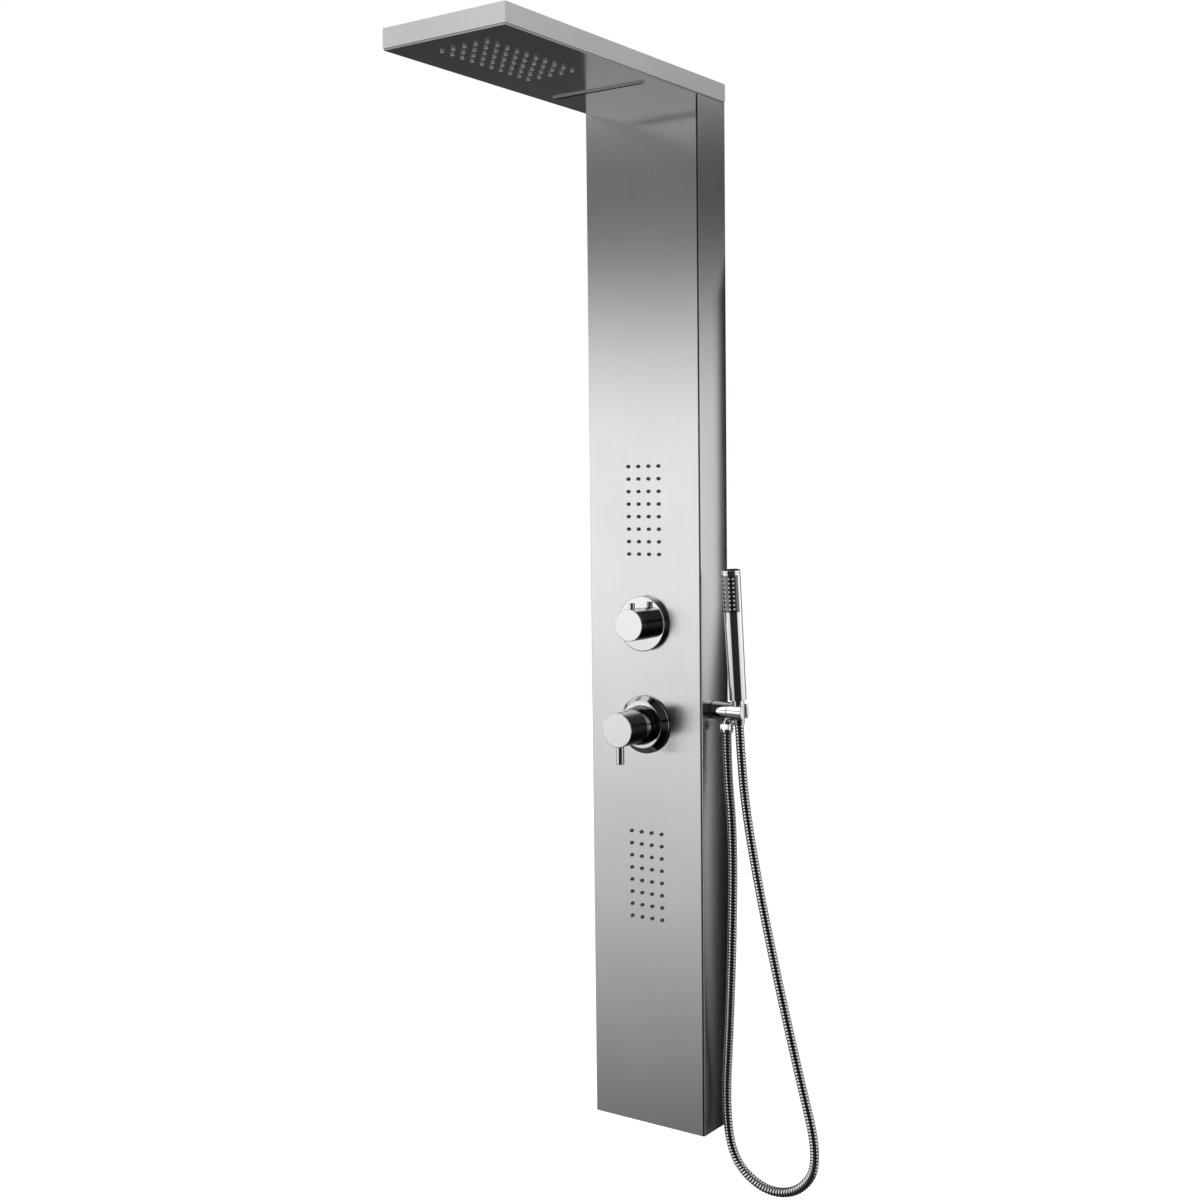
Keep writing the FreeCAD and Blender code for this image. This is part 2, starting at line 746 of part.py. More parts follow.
def waterfall():
    low = "plate_top"
    span = "fall_box_wide / 2"
    near = "(-slot_centre + fall_box_long / 2)"
    far = "(-slot_centre - fall_box_long / 2)"
    main = box((f"-{span}", span), (far, near), (low, f"{low} + fall_box_high"))
    ears = box((f"-{span} - fall_ear", f"{span} + fall_ear"), (far, near), (low, f"{low} + box_wall"))
    inlet_x = ("-pipe_offset - fall_inlet_wide / 2", "-pipe_offset + fall_inlet_wide / 2")
    inlet = box(inlet_x, ("-slot_centre", f"{near} + fall_inlet_reach"),
                (low, "feed_level + pipe_dia / 2 + box_wall / 2"))
    hollow = box((f"cover_wall - {span}", f"{span} - cover_wall"),
                 (f"{far} + cover_wall", f"{near} - cover_wall"),
                 (low, f"{low} + fall_box_high - cover_wall"))
    bore = "pipe_dia - 2 * pipe_wall"
    drop = ("-pipe_offset", "-slot_centre + fall_box_long / 4", "plate_top")
    down = rod(bore, "feed_level - plate_top", drop)
    across = rod(bore, "fall_box_long / 4 + fall_inlet_reach",
                 ("-pipe_offset", "-slot_centre + fall_box_long / 4", "feed_level"), backward)
    stud_x = f"({span} + fall_ear / 2)"
    holes = [rod("stud_hole_dia", "2 * box_wall", (x + stud_x, "-slot_centre", low)) for x in ("-", "")]
    node("waterfall_chamber", cut(joined(main, ears, inlet), hollow, down, across, *holes))
    ring = box(("-lip_wide / 2", "lip_wide / 2"),
               ("-slot_centre - lip_long / 2", "-slot_centre + lip_long / 2"),
               ("top_rise - lip_proud", "plate_top"))
    slot = box(("-slot_wide / 2", "slot_wide / 2"),
               ("-slot_centre - slot_open / 2", "-slot_centre + slot_open / 2"),
               ("top_rise - lip_proud", "plate_top"))
    node("waterfall_lip", cut(ring, slot))
    studs = []
    nuts = []
    for x in ("-", ""):
        studs.append(rod("stud_dia", "stud_long", (x + stud_x, "-slot_centre", low)))
        nuts.append(hex_nut("nut_across", "stud_dia", "nut_thick",
                            (x + stud_x, "-slot_centre", f"{low} + box_wall")))
    return studs, nuts


def head():
    head_plate()
    head_cover()
    at = ("0", "-rain_centre", "plate_top")
    nozzle_mat("rain_nozzle_mat", *rain_grid, "plate_gauge", "nozzle_proud", at, frontward)
    water_box("rain_chamber", *rain_grid, "rain_box_depth", "-1", ("pipe_offset", "feed_level - plate_top"),
              at, frontward)
    studs, nuts = waterfall()
    for x, z in stud_places(*rain_grid):
        place = f"-rain_centre - ({z})"
        studs.append(rod("stud_dia", "stud_long", (x, place, "plate_top")))
        nuts.append(hex_nut("nut_across", "stud_dia", "nut_thick",
                            (x, place, "plate_top + mat_gauge + box_wall")))
    bolts = []
    bolt_nuts = []
    for x in ("-head_bolt_x", "head_bolt_x"):
        for y in ("-head_bolt_front", "-head_bolt_rear"):
            under = "top_rise - sheet_gauge"
            cap = hexagon("1.67 * head_bolt_dia", "0.67 * head_bolt_dia", (x, y, under), downward)
            bolts.append(joined(rod("head_bolt_dia", "head_bolt_long", (x, y, under)), cap))
            bolt_nuts.append(hex_nut("1.67 * head_bolt_dia", "head_bolt_dia", "0.83 * head_bolt_dia",
                                     (x, y, "plate_top")))
    node("head_fixing_bolts", joined(*bolts))
    node("head_fixing_nuts", joined(*bolt_nuts))
    return studs, nuts


# ---- diverter ------------------------------------------------------------------------------------

def ahead(distance):
    """The Y of a place the given distance in front of the column's front."""
    return f"front - ({distance})"


def diverter():
    level = "diverter_z"
    half = "diverter_block / 2"
    block = box((f"-{half}", half), ("behind_front", "behind_front + diverter_block_depth"),
                (f"{level} - {half}", f"{level} + {half}"))
    neck = rod("diverter_neck_dia", "valve_neck_proud + sheet_gauge", ("0", "behind_front", level), frontward)
    bore_long = "column_depth + valve_neck_proud - diverter_bore_end"
    bore = rod("diverter_bore_dia", bore_long, ("0", "-diverter_bore_end", level), frontward)
    way = "pipe_dia - 2 * pipe_wall"
    ports = []
    near = "0.4 * diverter_bore_dia"
    outlets = (("-pipe_offset", up, "+"), ("pipe_offset", up, "+"), ("-pipe_offset", downward, "-"))
    for x, turned, sign in outlets:
        ports.append(rod(way, f"{half} - {near}", (x, "valve_y", f"{level} {sign} {near}"), turned))
    for sign in ("+", "-"):
        ports.append(rod(f"({way}) / 3", "2 * pipe_offset",
                         ("-pipe_offset", "valve_y", f"{level} {sign} {near}"), rightward))
    sides = rod(way, "diverter_block", (f"-{half}", "valve_y", level), rightward)
    supply = rod("link_dia - 2 * pipe_wall", half, ("0", "valve_y", level), downward)
    node("diverter_body", cut(joined(block, neck), bore, sides, supply, *ports))

    cartridge = rod("diverter_bore_dia", bore_long, ("0", "-diverter_bore_end", level), frontward)
    socket = rod("spindle_dia + 2 * running_gap", "column_depth + valve_neck_proud",
                 ("0", "spindle_back + running_gap - column_depth", level), frontward)
    node("diverter_cartridge", cut(cartridge, socket))
    node("diverter_lock_nut", hex_nut("diverter_nut_across", "diverter_neck_dia", "lock_nut_thick",
                                      ("0", "front", level), frontward))
    outer = "diverter_flange_dia / 2"
    hole = "(diverter_neck_dia / 2 + seat_gap)"
    flange = lathe([
        (f"{outer} - cover_wall", "0"), (outer, "0"), (outer, "diverter_flange_rim"),
        (hole, "diverter_flange_thick"), (hole, "diverter_flange_thick - cover_wall"),
        (f"{outer} - cover_wall", "diverter_flange_rim - cover_wall")], (0, "front", level))
    node("diverter_flange", flange)
    rounded(flange, "diverter_flange_round", "diverter_flange_dia", "diverter_flange_rim")

    node("diverter_spindle", rod("spindle_dia", "spindle_back + spindle_front",
                                 ("0", "front + spindle_back", level), frontward))
    start = "(diverter_flange_thick + knob_gap)"
    grip = pin("knob_dia", f"knob_front - {start}", "knob_edge", ("0", ahead(start), level))
    recess = rod("knob_recess_dia", "knob_recess", ("0", ahead(start), level), frontward)
    seat = rod("spindle_dia", "spindle_front", ("0", "front", level), frontward)
    pin_y = ahead("knob_front - diverter_pin_back")
    pin_z = f"{level} + diverter_pin_root"
    pin_hole = rod("diverter_pin_dia", "knob_dia", ("0", pin_y, pin_z))
    grub_y = ahead("grub_front")
    grub_hole = rod("grub_dia", "knob_dia", ("0", grub_y, level), downward)
    node("diverter_knob", cut(grip, recess, seat, pin_hole, grub_hole))
    node("diverter_pin", rod("diverter_pin_dia", "knob_dia / 2 + diverter_pin_proud - diverter_pin_root",
                             ("0", pin_y, pin_z)))
    node("diverter_grub_screw", rod("grub_dia", "grub_long",
                                    ("0", grub_y, f"{level} - spindle_dia / 2"), downward))


# ---- mixer ---------------------------------------------------------------------------------------

def mixer():
    level = "mixer_z"
    barrel = rod("mixer_barrel_dia", "-mixer_barrel_end - behind_front",
                 ("0", "-mixer_barrel_end", level), frontward)
    neck = rod("mixer_neck_dia", "valve_neck_proud + sheet_gauge", ("0", "behind_front", level), frontward)
    bar = rod("mixer_bar_dia", "2 * mixer_bar_reach", ("-mixer_bar_reach", "valve_y", level), rightward)
    boss = rod("link_boss_dia", "link_boss_high", ("0", "valve_y", level))
    inlets = []
    ways = []
    for x in ("-inlet_spacing / 2", "inlet_spacing / 2"):
        inlets.append(rod("inlet_boss_dia", "valve_axis_depth - inlet_face - inlet_thread",
                          (x, "valve_y", level), backward))
        inlets.append(rod("inlet_dia", "valve_axis_depth - inlet_face", (x, "valve_y", level), backward))
        ways.append(rod("inlet_bore_dia", "valve_axis_depth - inlet_face", (x, "valve_y", level), backward))
    ways.append(rod("inlet_bore_dia", "inlet_spacing", ("-inlet_spacing / 2", "valve_y", level), rightward))
    ways.append(rod("link_dia - 2 * pipe_wall", "link_boss_high", ("0", "valve_y", level)))
    bore_long = "column_depth + valve_neck_proud - mixer_bore_end"
    bore = rod("mixer_bore_dia", bore_long, ("0", "-mixer_bore_end", level), frontward)
    node("mixer_body", cut(joined(barrel, neck, bar, boss, *inlets), bore, *ways))

    wide = rod("mixer_bore_dia", bore_long, ("0", "-mixer_bore_end", level), frontward)
    nose_long = "pivot_front - cartridge_front_gap - valve_neck_proud"
    nose = rod("cartridge_neck_dia", nose_long, ("0", ahead("valve_neck_proud"), level), frontward)
    carrier_front = "(pivot_front - cartridge_front_gap)"
    recess_back = f"({carrier_front} - carrier_long - 2 * carrier_gap)"
    recess = rod("carrier_dia + 2 * carrier_gap", "carrier_long + 2 * carrier_gap",
                 ("0", ahead(recess_back), level), frontward)
    node("mixer_cartridge", cut(joined(wide, nose), recess))

    pivot = ("0", "pivot_y", level)
    disc_y = ahead(f"{carrier_front} - carrier_gap - carrier_long")
    disc = rod("carrier_dia", "carrier_long", ("0", disc_y, level), frontward)
    ear_y = (ahead("pivot_front + ear_reach"), ahead(f"{carrier_front} - carrier_gap - carrier_long / 2"))
    ear_z = (f"{level} - ear_wide / 2", f"{level} + ear_wide / 2")
    ears = [box(("-ear_inner - ear_thick", "-ear_inner"), ear_y, ear_z),
            box(("ear_inner", "ear_inner + ear_thick"), ear_y, ear_z)]
    socket = ball("ball_dia + 2 * ball_gap", pivot)
    trunnion = rod("trunnion_dia", "2 * (ear_inner + ear_thick)",
                   ("-ear_inner - ear_thick", "pivot_y", level), rightward)
    node("mixer_carrier", joined(cut(joined(disc, *ears), socket), trunnion))

    pin_hole = rod("trunnion_dia + 2 * running_gap", "2 * ball_dia",
                   ("-ball_dia", "pivot_y", level), rightward)
    stem = rod("stem_dia", "stem_front - pivot_front", pivot, frontward)
    node("mixer_stem", cut(joined(ball("ball_dia", pivot), stem), pin_hole))

    node("mixer_lock_nut", tube("mixer_lock_nut_dia", "mixer_neck_dia", "lock_nut_thick",
                                ("0", "front", level), frontward))
    nut_radius = "(mixer_neck_dia / 2 + mixer_nut_wall)"
    node("mixer_cartridge_nut", lathe([
        ("mixer_neck_dia / 2", "lock_nut_thick + seat_gap"), (nut_radius, "lock_nut_thick + seat_gap"),
        (nut_radius, "valve_neck_proud + lock_nut_thick"),
        ("cartridge_neck_dia / 2 + carrier_gap", "valve_neck_proud + lock_nut_thick"),
        ("cartridge_neck_dia / 2 + carrier_gap", "valve_neck_proud"),
        ("mixer_neck_dia / 2", "valve_neck_proud")],
        ("0", "front", level)))

    foot = ("0", ahead("collar_foot"), level)
    shell_long = "pivot_front - collar_foot"
    outside = joined(rod("collar_dia", shell_long, foot, frontward),
                     ball("collar_dia", pivot, frontward, half=True))
    web = "collar_foot + 2 * collar_wall"
    inside = joined(rod("2 * collar_inner", f"pivot_front - ({web})", ("0", ahead(web), level), frontward),
                    ball("2 * collar_inner", pivot, frontward, half=True))
    opening = rod("collar_opening", "collar_dia", pivot, frontward)
    seat = rod(f"2 * {nut_radius}", shell_long, foot, frontward)
    node("mixer_collar", cut(outside, inside, opening, seat))

    outer = "mixer_flange_dia / 2"
    hole = "(collar_dia / 2 + seat_gap)"
    wall = "cover_wall"
    node("mixer_flange", lathe([
        (f"{outer} - {wall}", "0"), (outer, "0"), (outer, "mixer_flange_rim"),
        ("mixer_flange_crown / 2", "mixer_flange_shoulder"), (f"{hole} + {wall}", "mixer_flange_thick"),
        (hole, "mixer_flange_thick"), (hole, f"mixer_flange_thick - {wall}"),
        (f"mixer_flange_crown / 2 - {wall}", f"mixer_flange_shoulder - {wall}"),
        (f"{outer} - {wall}", f"mixer_flange_rim - {wall} / 2")], ("0", "front", level)))

    handle = pin("handle_dia", "handle_front - handle_back", "handle_edge",
                 ("0", ahead("handle_back"), level))
    hollow = ball("collar_dia + 2 * handle_sphere_gap", pivot)
    stem_hole = rod("stem_dia", "stem_front - pivot_front", pivot, frontward)
    lever_y = ahead("handle_front - lever_back")
    lever_hole = rod("lever_dia", "handle_dia", ("0", lever_y, f"{level} - lever_root"), downward)
    grub_y = ahead("handle_grub_front")
    grub_hole = rod("grub_dia", "handle_dia", ("0", grub_y, level), downward)
    node("mixer_handle", cut(handle, hollow, stem_hole, lever_hole, grub_hole))
    node("mixer_lever_pin", pin("lever_dia", "handle_dia / 2 + lever_proud - lever_root", "knob_edge",
                                ("0", lever_y, f"{level} - lever_root"), downward))
    node("mixer_grub_screw", rod("grub_dia", "grub_long", ("0", grub_y, f"{level} - stem_dia / 2"), downward))
    node("link_pipe", tube("link_dia", "link_dia - 2 * pipe_wall",
                           "(diverter_z - diverter_block / 2) - (mixer_z + link_boss_high)",
                           ("0", "valve_y", "mixer_z + link_boss_high")))


# ---- outlet arm and fork -------------------------------------------------------------------------

def outlet():
    y = "arm_y"
    z = "arm_z"
    start = "column_width / 2 - shank_inside"
    shank = rod("shank_dia", "shank_inside + seal_thick", (start, y, z), rightward)
    arm = pin("arm_dia", "arm_end - arm_start", "arm_edge", ("arm_start", y, z), rightward)
    beside_fork = box(("arm_end", "arm_end + shank_dia"), ("arm_y - shank_dia", "arm_y + shank_dia"),
                      ("arm_z - fork_dia / 2 - seal_thick", "arm_z"))
    spout = cut(rod("shank_dia", "spout_long", ("outlet_x", y, z), downward), beside_fork)
    stub = rod("stub_dia", "stub_long", ("arm_end", y, z), rightward)
    across = rod("waterway_dia", f"outlet_x - ({start})", (start, y, z), rightward)
    down = rod("waterway_dia", "spout_long", ("outlet_x", y, z), downward)
    groove = tube("2 * stub_dia", "0.7 * stub_dia", "holder_grub_dia + 2 * running_gap",
                  ("fork_left + fork_x", y, z), rightward)
    node("outlet_elbow", cut(joined(shank, arm, spout, stub), across, down, groove))
    node("outlet_seal", tube("arm_dia - 2 * seal_thick", "shank_dia", "seal_thick",
                             ("column_width / 2", y, z), rightward))
    node("outlet_back_nut", hex_nut("back_nut_across", "shank_dia", "back_nut_thick",
                                    ("inner_side - back_nut_thick", y, z), rightward))
    node("holder_washer", tube("washer_dia", "stub_dia + 2 * running_gap", "washer_thick",
                               ("arm_end", y, z), rightward))
    nut_top = ("outlet_x", y, "arm_z - hose_nut_top")
    thread = rod("shank_dia", "hose_nut_long - hose_nut_floor", nut_top, downward)
    way = rod("hose_bore", "hose_nut_long", nut_top, downward)
    node("hose_nut", cut(hexagon("hose_nut_across", "hose_nut_long", nut_top, downward), thread, way))


def lean(item):
    """Set a piece that is built round the fork's bore into its place, leaning with the hand shower."""
    item.Placement = FreeCAD.Placement(Vector(), Rotation(Vector(1, 0, 0), 1))
    item.setExpression("Placement.Rotation.Angle", sized("handset_lean"))
    for axis, rule in zip("xyz", ("fork_x", "arm_y", "arm_z")):
        item.setExpression(f"Placement.Base.{axis}", sized(rule))
    return item


def holder():
    """A round bar in line with the arm, with an upright conical bore that is open at the bar's end."""
    bar = pin("fork_dia", "fork_end - fork_left", "fork_edge", ("fork_left", "0", "0"), rightward)
    bore = cone("fork_bore_bottom_dia / 2", "fork_bore_top_dia / 2", "fork_bore_long",
                ("0", "0", "-fork_bore_long / 2"))
    slot = box(("0", "2 * fork_end"), ("-fork_slot / 2", "fork_slot / 2"), ("-fork_dia", "fork_dia"))
    socket = rod("stub_dia + 2 * running_gap", "-fork_left", ("fork_left", "0", "0"), rightward)
    screw_x = "fork_left + holder_grub_dia / 2 + running_gap"
    screw_hole = rod("holder_grub_dia", "fork_dia", (screw_x, "0", "0"), backward)
    node("holder_fork", lean(cut(bar, bore, slot, socket, screw_hole)))
    tip = "0.35 * stub_dia + running_gap"
    key = hexagon("holder_grub_dia / 2", "holder_grub_long / 2",
                  (screw_x, f"{tip} + holder_grub_long / 2", "0"), backward)
    screw = rod("holder_grub_dia", "holder_grub_long", (screw_x, tip, "0"), backward)
    node("holder_grub_screw", lean(cut(screw, key)))


# ---- hand shower ---------------------------------------------------------------------------------

def radius_at(distance):
    """The hand shower's radius at a distance above the arm's axis."""
    return (f"(body_bottom_dia / 2 + (body_top_dia - body_bottom_dia) / 2"
            f" * (({distance}) - body_start) / (body_end - body_start))")


def handset():
    nut = cone("cone_nut_bottom_radius", "cone_nut_top_radius", "cone_nut_top + cone_nut_bottom",
               ("0", "0", "-cone_nut_bottom"))
    nut_thread = rod("thread_dia", "cone_nut_top + cone_nut_bottom - cone_nut_floor",
                     ("0", "0", "cone_nut_floor - cone_nut_bottom"))
    nut_way = rod("hose_bore", "cone_nut_floor", ("0", "0", "-cone_nut_bottom"))
    node("hose_cone_nut", lean(cut(nut, nut_thread, nut_way)))

    thread = rod("thread_dia", "thread_end + neck_start", ("0", "0", "-thread_end"))
    neck = rod("neck_dia", "body_start - neck_start", ("0", "0", "neck_start"))
    grip = cone(radius_at("body_start"), radius_at("body_end"), "body_end - body_start",
                ("0", "0", "body_start"))
    way = rod("hose_bore", "spray_start + thread_end", ("0", "0", "-thread_end"))
    chamber = rod("handset_bore_dia", "spray_end - body_start - spray_wall",
                  ("0", "0", "body_start + spray_wall"))
    seat_radius = f"({radius_at('spray_start')} - spray_wall)"
    ring = tube("2 * body_top_dia", f"2 * {seat_radius}", "spray_end - spray_start",
                ("0", "0", "spray_start"))
    window = doc.addObject("Part::Common", "window")
    window.Base = ring
    window.Tool = lathe_sector("spray_start", "spray_end")
    slit = box(("-handset_bore_dia / 2", "handset_bore_dia / 2"), (f"-{seat_radius}", "0"),
               ("spray_start + spray_wall", "spray_end - spray_wall"))
    node("handset_body", lean(cut(joined(thread, neck, grip), way, chamber, window, slit)))

    plate = cut(cone(radius_at("spray_start"), radius_at("spray_end"), "spray_end - spray_start",
                     ("0", "0", "spray_start")),
                rod(f"2 * {seat_radius}", "spray_end - spray_start", ("0", "0", "spray_start")))
    facing = doc.addObject("Part::Common", "facing")
    facing.Base = plate
    facing.Tool = lathe_sector("spray_start", "spray_end")
    columns = [spray_column(step) for step in range(int(size["spray_columns"]))]
    node("handset_nozzle_plate", lean(joined(facing, *columns)))
    radius = radius_at("body_end")
    node("handset_end_cap", lean(lathe([
        ("0", "body_end"), (radius, "body_end"), (radius, "body_end + end_cap_thick - end_cap_edge"),
        (f"{radius} - end_cap_edge", "body_end + end_cap_thick"), ("0", "body_end + end_cap_thick")],
        ("0", "0", "0"), up)))


def lathe_sector(low, high):
    """A part of a round block that faces the front, as wide as the spray plate's angle."""
    item = doc.addObject("Part::Cylinder", "sector")
    bind(item, Radius="2 * body_top_dia", Height=f"{high} - {low}", Angle="spray_angle")
    item.Placement = FreeCAD.Placement(Vector(), Rotation(Vector(0, 0, 1), 1))
    item.setExpression("Placement.Rotation.Angle", sized("270 - spray_angle / 2"))
    item.setExpression("Placement.Base.z", sized(low))
    return item


def spray_column(step):
    """One upright row of spray tips, turned round the hand shower's axis."""
    body = bare_body()
    tips = new_sketch(body, "XZ_Plane", "body_bottom_dia / 2 - spray_wall / 2")
    circle(tips, "spray_tip_dia", "0",
           "(spray_start + spray_end) / 2 - spray_row_pitch * (spray_rows - 1) / 2")
    tip = feature(body, "Pad", tips,
                  "(body_top_dia - body_bottom_dia) / 2 + spray_wall / 2 + spray_tip_proud")
    rows = body.newObject("PartDesign::LinearPattern", "rows")
    rows.Originals = [tip]
    rows.Direction = (tips, ["V_Axis"])
    bind(rows, Length="spray_row_pitch * (spray_rows - 1)", Occurrences="spray_rows")
    body.Tip = rows
    body.Placement = FreeCAD.Placement(Vector(), Rotation(Vector(0, 0, 1), 1))
    body.setExpression("Placement.Rotation.Angle",
                       sized(f"360 + spray_column_angle * ({step} - (spray_columns - 1) / 2)"))
    return body


# ---- pipes and hose ------------------------------------------------------------------------------

def bent_line(points, bend):
    """Straight runs joined by arcs; bend gives an arc's radius from its shorter run and half its turn."""
    edges = []
    start = points[0]
    radii = []
    for before, corner, after in zip(points, points[1:], points[2:]):
        back = (before - corner).normalize()
        on = (after - corner).normalize()
        half_turn = (math.pi - back.getAngle(on)) / 2
        shorter = min(before.distanceToPoint(corner), after.distanceToPoint(corner))
        radius = bend(shorter, half_turn)
        reach = radius * math.tan(half_turn)
        entry = corner + back * reach
        leave = corner + on * reach
        inward = (back + on).normalize()
        middle = corner + inward * (radius / math.cos(half_turn) - radius)
        edges.append(Part.LineSegment(start, entry).toShape())
        edges.append(Part.Arc(entry, middle, leave).toShape())
        start = leave
        radii.append(radius)
    edges.append(Part.LineSegment(start, points[-1]).toShape())
    return edges, radii


def sweep(edges, dia):
    start = edges[0].Vertexes[0].Point
    heading = edges[0].tangentAt(edges[0].FirstParameter)
    ring = Part.Wire([Part.makeCircle(dia / 2, start, heading)])
    return Part.Wire(edges).makePipeShell([ring], True, False)


def spot(*rules):
    return Vector(*[amount(rule) for rule in rules])


def water_pipe(name, *route):
    points = [spot(*rules) for rules in route]
    edges, _ = bent_line(points, lambda shorter, half_turn: min(size["pipe_bend"],
                                                                0.45 * shorter / math.tan(half_turn)))
    bore = size["pipe_dia"] - 2 * size["pipe_wall"]
    item = node(name, doc.addObject("Part::Feature", name))
    item.Shape = sweep(edges, size["pipe_dia"]).cut(sweep(edges, bore))


def pipes():
    top = "diverter_z + diverter_block / 2"
    bottom = "diverter_z - diverter_block / 2"
    left = "-pipe_offset"
    side = "-pipe_side"
    water_pipe("rain_feed_pipe", ("pipe_offset", "valve_y", top), ("pipe_offset", "valve_y", "feed_level"),
               ("pipe_offset", f"{half_box(*rain_grid[1])} - rain_centre", "feed_level"))
    water_pipe("waterfall_feed_pipe", (left, "valve_y", top), (left, "valve_y", "feed_level"),
               (left, "fall_box_long / 2 + fall_inlet_reach - slot_centre", "feed_level"))
    inlet_y = "behind_front + mat_gauge + jet_box_depth / 2"
    inlet = f"-upper_jets_drop - {half_box(*jet_grid[1])}"
    turn = f"{inlet} - pipe_lane"
    water_pipe("upper_jet_pipe", ("-diverter_block / 2", "valve_y", "diverter_z"),
               (side, "valve_y", "diverter_z"), (side, inlet_y, turn), (left, inlet_y, turn),
               (left, inlet_y, inlet))
    inlet = f"{half_box(*jet_grid[1])} - lower_jets_drop"
    turn = f"{inlet} + pipe_lane"
    first = f"{bottom} - pipe_lane"
    water_pipe("lower_jet_pipe", (left, "valve_y", bottom), (left, "valve_y", first),
               (side, "valve_y", first), (side, inlet_y, turn), (left, inlet_y, turn),
               (left, inlet_y, inlet))
    shank = "column_width / 2 - shank_inside"
    turn = f"{shank} - pipe_lane"
    water_pipe("handset_feed_pipe", ("diverter_block / 2", "valve_y", "diverter_z"),
               (turn, "valve_y", "diverter_z"), (turn, "arm_y", "arm_z"), (shank, "arm_y", "arm_z"))


# The hose hangs in a loop below the column. The points between its two ends lie on its middle line.
hose_route = [
    (116.5, -39, -790.5), (125.5, -39, -882), (124, -39, -1018), (118.3, -39, -1160), (110.5, -39, -1287),
    (122.7, -39, -1363.4), (177.1, -39, -1397.6), (232.8, -39, -1384.1), (262.6, -39, -1333.1),
    (229, -39, -1211), (194, -39, -1074), (164, -38, -946), (143.5, -36, -841), (135.5, -33.83, -762.1),
]


def place_along(edges, distance):
    """The point and the heading at a distance along the edges."""
    for edge in edges:
        if distance <= edge.Length or edge is edges[-1]:
            where = edge.getParameterByLength(min(distance, edge.Length))
            return edge.valueAt(where), edge.tangentAt(where)
        distance -= edge.Length


def ring_at(edges, distance, radius):
    """A circle square to the hose, with its start kept on the side away from the wall."""
    point, heading = place_along(edges, distance)
    sideways = Vector(0, -1, 0)
    across = (sideways - heading * sideways.dot(heading)).normalize()
    turned = Rotation(across, heading.cross(across), heading, "ZXY")
    ring = Part.makeCircle(radius)
    ring.Placement = FreeCAD.Placement(point, turned)
    return Part.Wire([ring])


def hose():
    start = spot("outlet_x", "arm_y", "arm_z - hose_nut_top - hose_nut_long")
    end = nodes["hose_cone_nut"].Placement.multVec(spot("0", "0", "-cone_nut_bottom - hose_end_gap"))
    points = [start] + [Vector(*point) for point in hose_route] + [end]
    edges, radii = bent_line(points, lambda shorter, half_turn: 0.45 * shorter / math.tan(half_turn))
    length = sum(edge.Length for edge in edges)
    print(f"hose: {length:.0f} mm long, bend radii {[round(radius) for radius in radii]}")
    crest = size["hose_dia"] / 2
    groove = crest - size["hose_groove"]
    plain = size["hose_dia"]
    count = int(size["hose_ribs"])
    pitch = (length - 2 * plain) / count
    rings = [ring_at(edges, 0, crest)]
    for rib in range(count):
        for share, radius in ((0.05, groove), (0.25, crest), (0.75, crest), (0.95, groove)):
            rings.append(ring_at(edges, plain + (rib + share) * pitch, radius))
    rings.append(ring_at(edges, length, crest))
    item = node("hose", doc.addObject("Part::Feature", "hose"))
    item.Shape = Part.makeLoft(rings, True, True).cut(sweep(edges, size["hose_bore"]))
    print(f"hose: {item.Shape.Volume / 1000:.1f} cubic cm")


# ---- the whole panel -----------------------------------------------------------------------------

column()
studs, stud_nuts = jets()
head_studs, head_nuts = head()
node("panel_studs", joined(*studs, *head_studs))
node("stud_nuts", joined(*stud_nuts, *head_nuts))
diverter()
mixer()
outlet()
holder()
handset()
doc.recompute()
pipes()
hose()
doc.recompute()

for item in doc.Objects:
    if {"Invalid", "Error"} & set(item.State):
        raise RuntimeError(f"{item.Label} could not be built")
for name, item in nodes.items():
    if item.Shape.isNull() or not item.Shape.isValid():
        raise RuntimeError(f"{name} has no good shape")

os.makedirs("parts", exist_ok=True)
for name, item in nodes.items():
    item.Shape.exportStep(f"parts/{name}.step")
print(f"{len(nodes)} pieces")
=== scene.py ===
import bmesh
import bpy
import math
import numpy as np
from mathutils import Matrix, Vector


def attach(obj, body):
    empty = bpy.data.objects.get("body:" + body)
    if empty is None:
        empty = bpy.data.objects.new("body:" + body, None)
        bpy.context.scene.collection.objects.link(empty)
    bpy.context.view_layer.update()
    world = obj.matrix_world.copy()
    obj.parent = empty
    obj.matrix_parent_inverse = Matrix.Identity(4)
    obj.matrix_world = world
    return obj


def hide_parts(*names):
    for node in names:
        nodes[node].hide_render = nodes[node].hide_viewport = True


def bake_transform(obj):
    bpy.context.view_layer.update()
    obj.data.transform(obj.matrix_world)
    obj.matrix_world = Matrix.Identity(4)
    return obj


# Shower panel column, dressed for a product picture. Lengths in the dictionaries are millimetres.
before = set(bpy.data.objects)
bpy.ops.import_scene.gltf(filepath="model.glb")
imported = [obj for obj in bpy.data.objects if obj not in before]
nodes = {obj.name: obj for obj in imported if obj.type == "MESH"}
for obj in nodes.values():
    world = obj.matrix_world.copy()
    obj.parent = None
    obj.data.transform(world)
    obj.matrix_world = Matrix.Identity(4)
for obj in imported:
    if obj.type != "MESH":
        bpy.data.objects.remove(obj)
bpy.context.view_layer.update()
print("frame loaded with", len(nodes), "nodes")

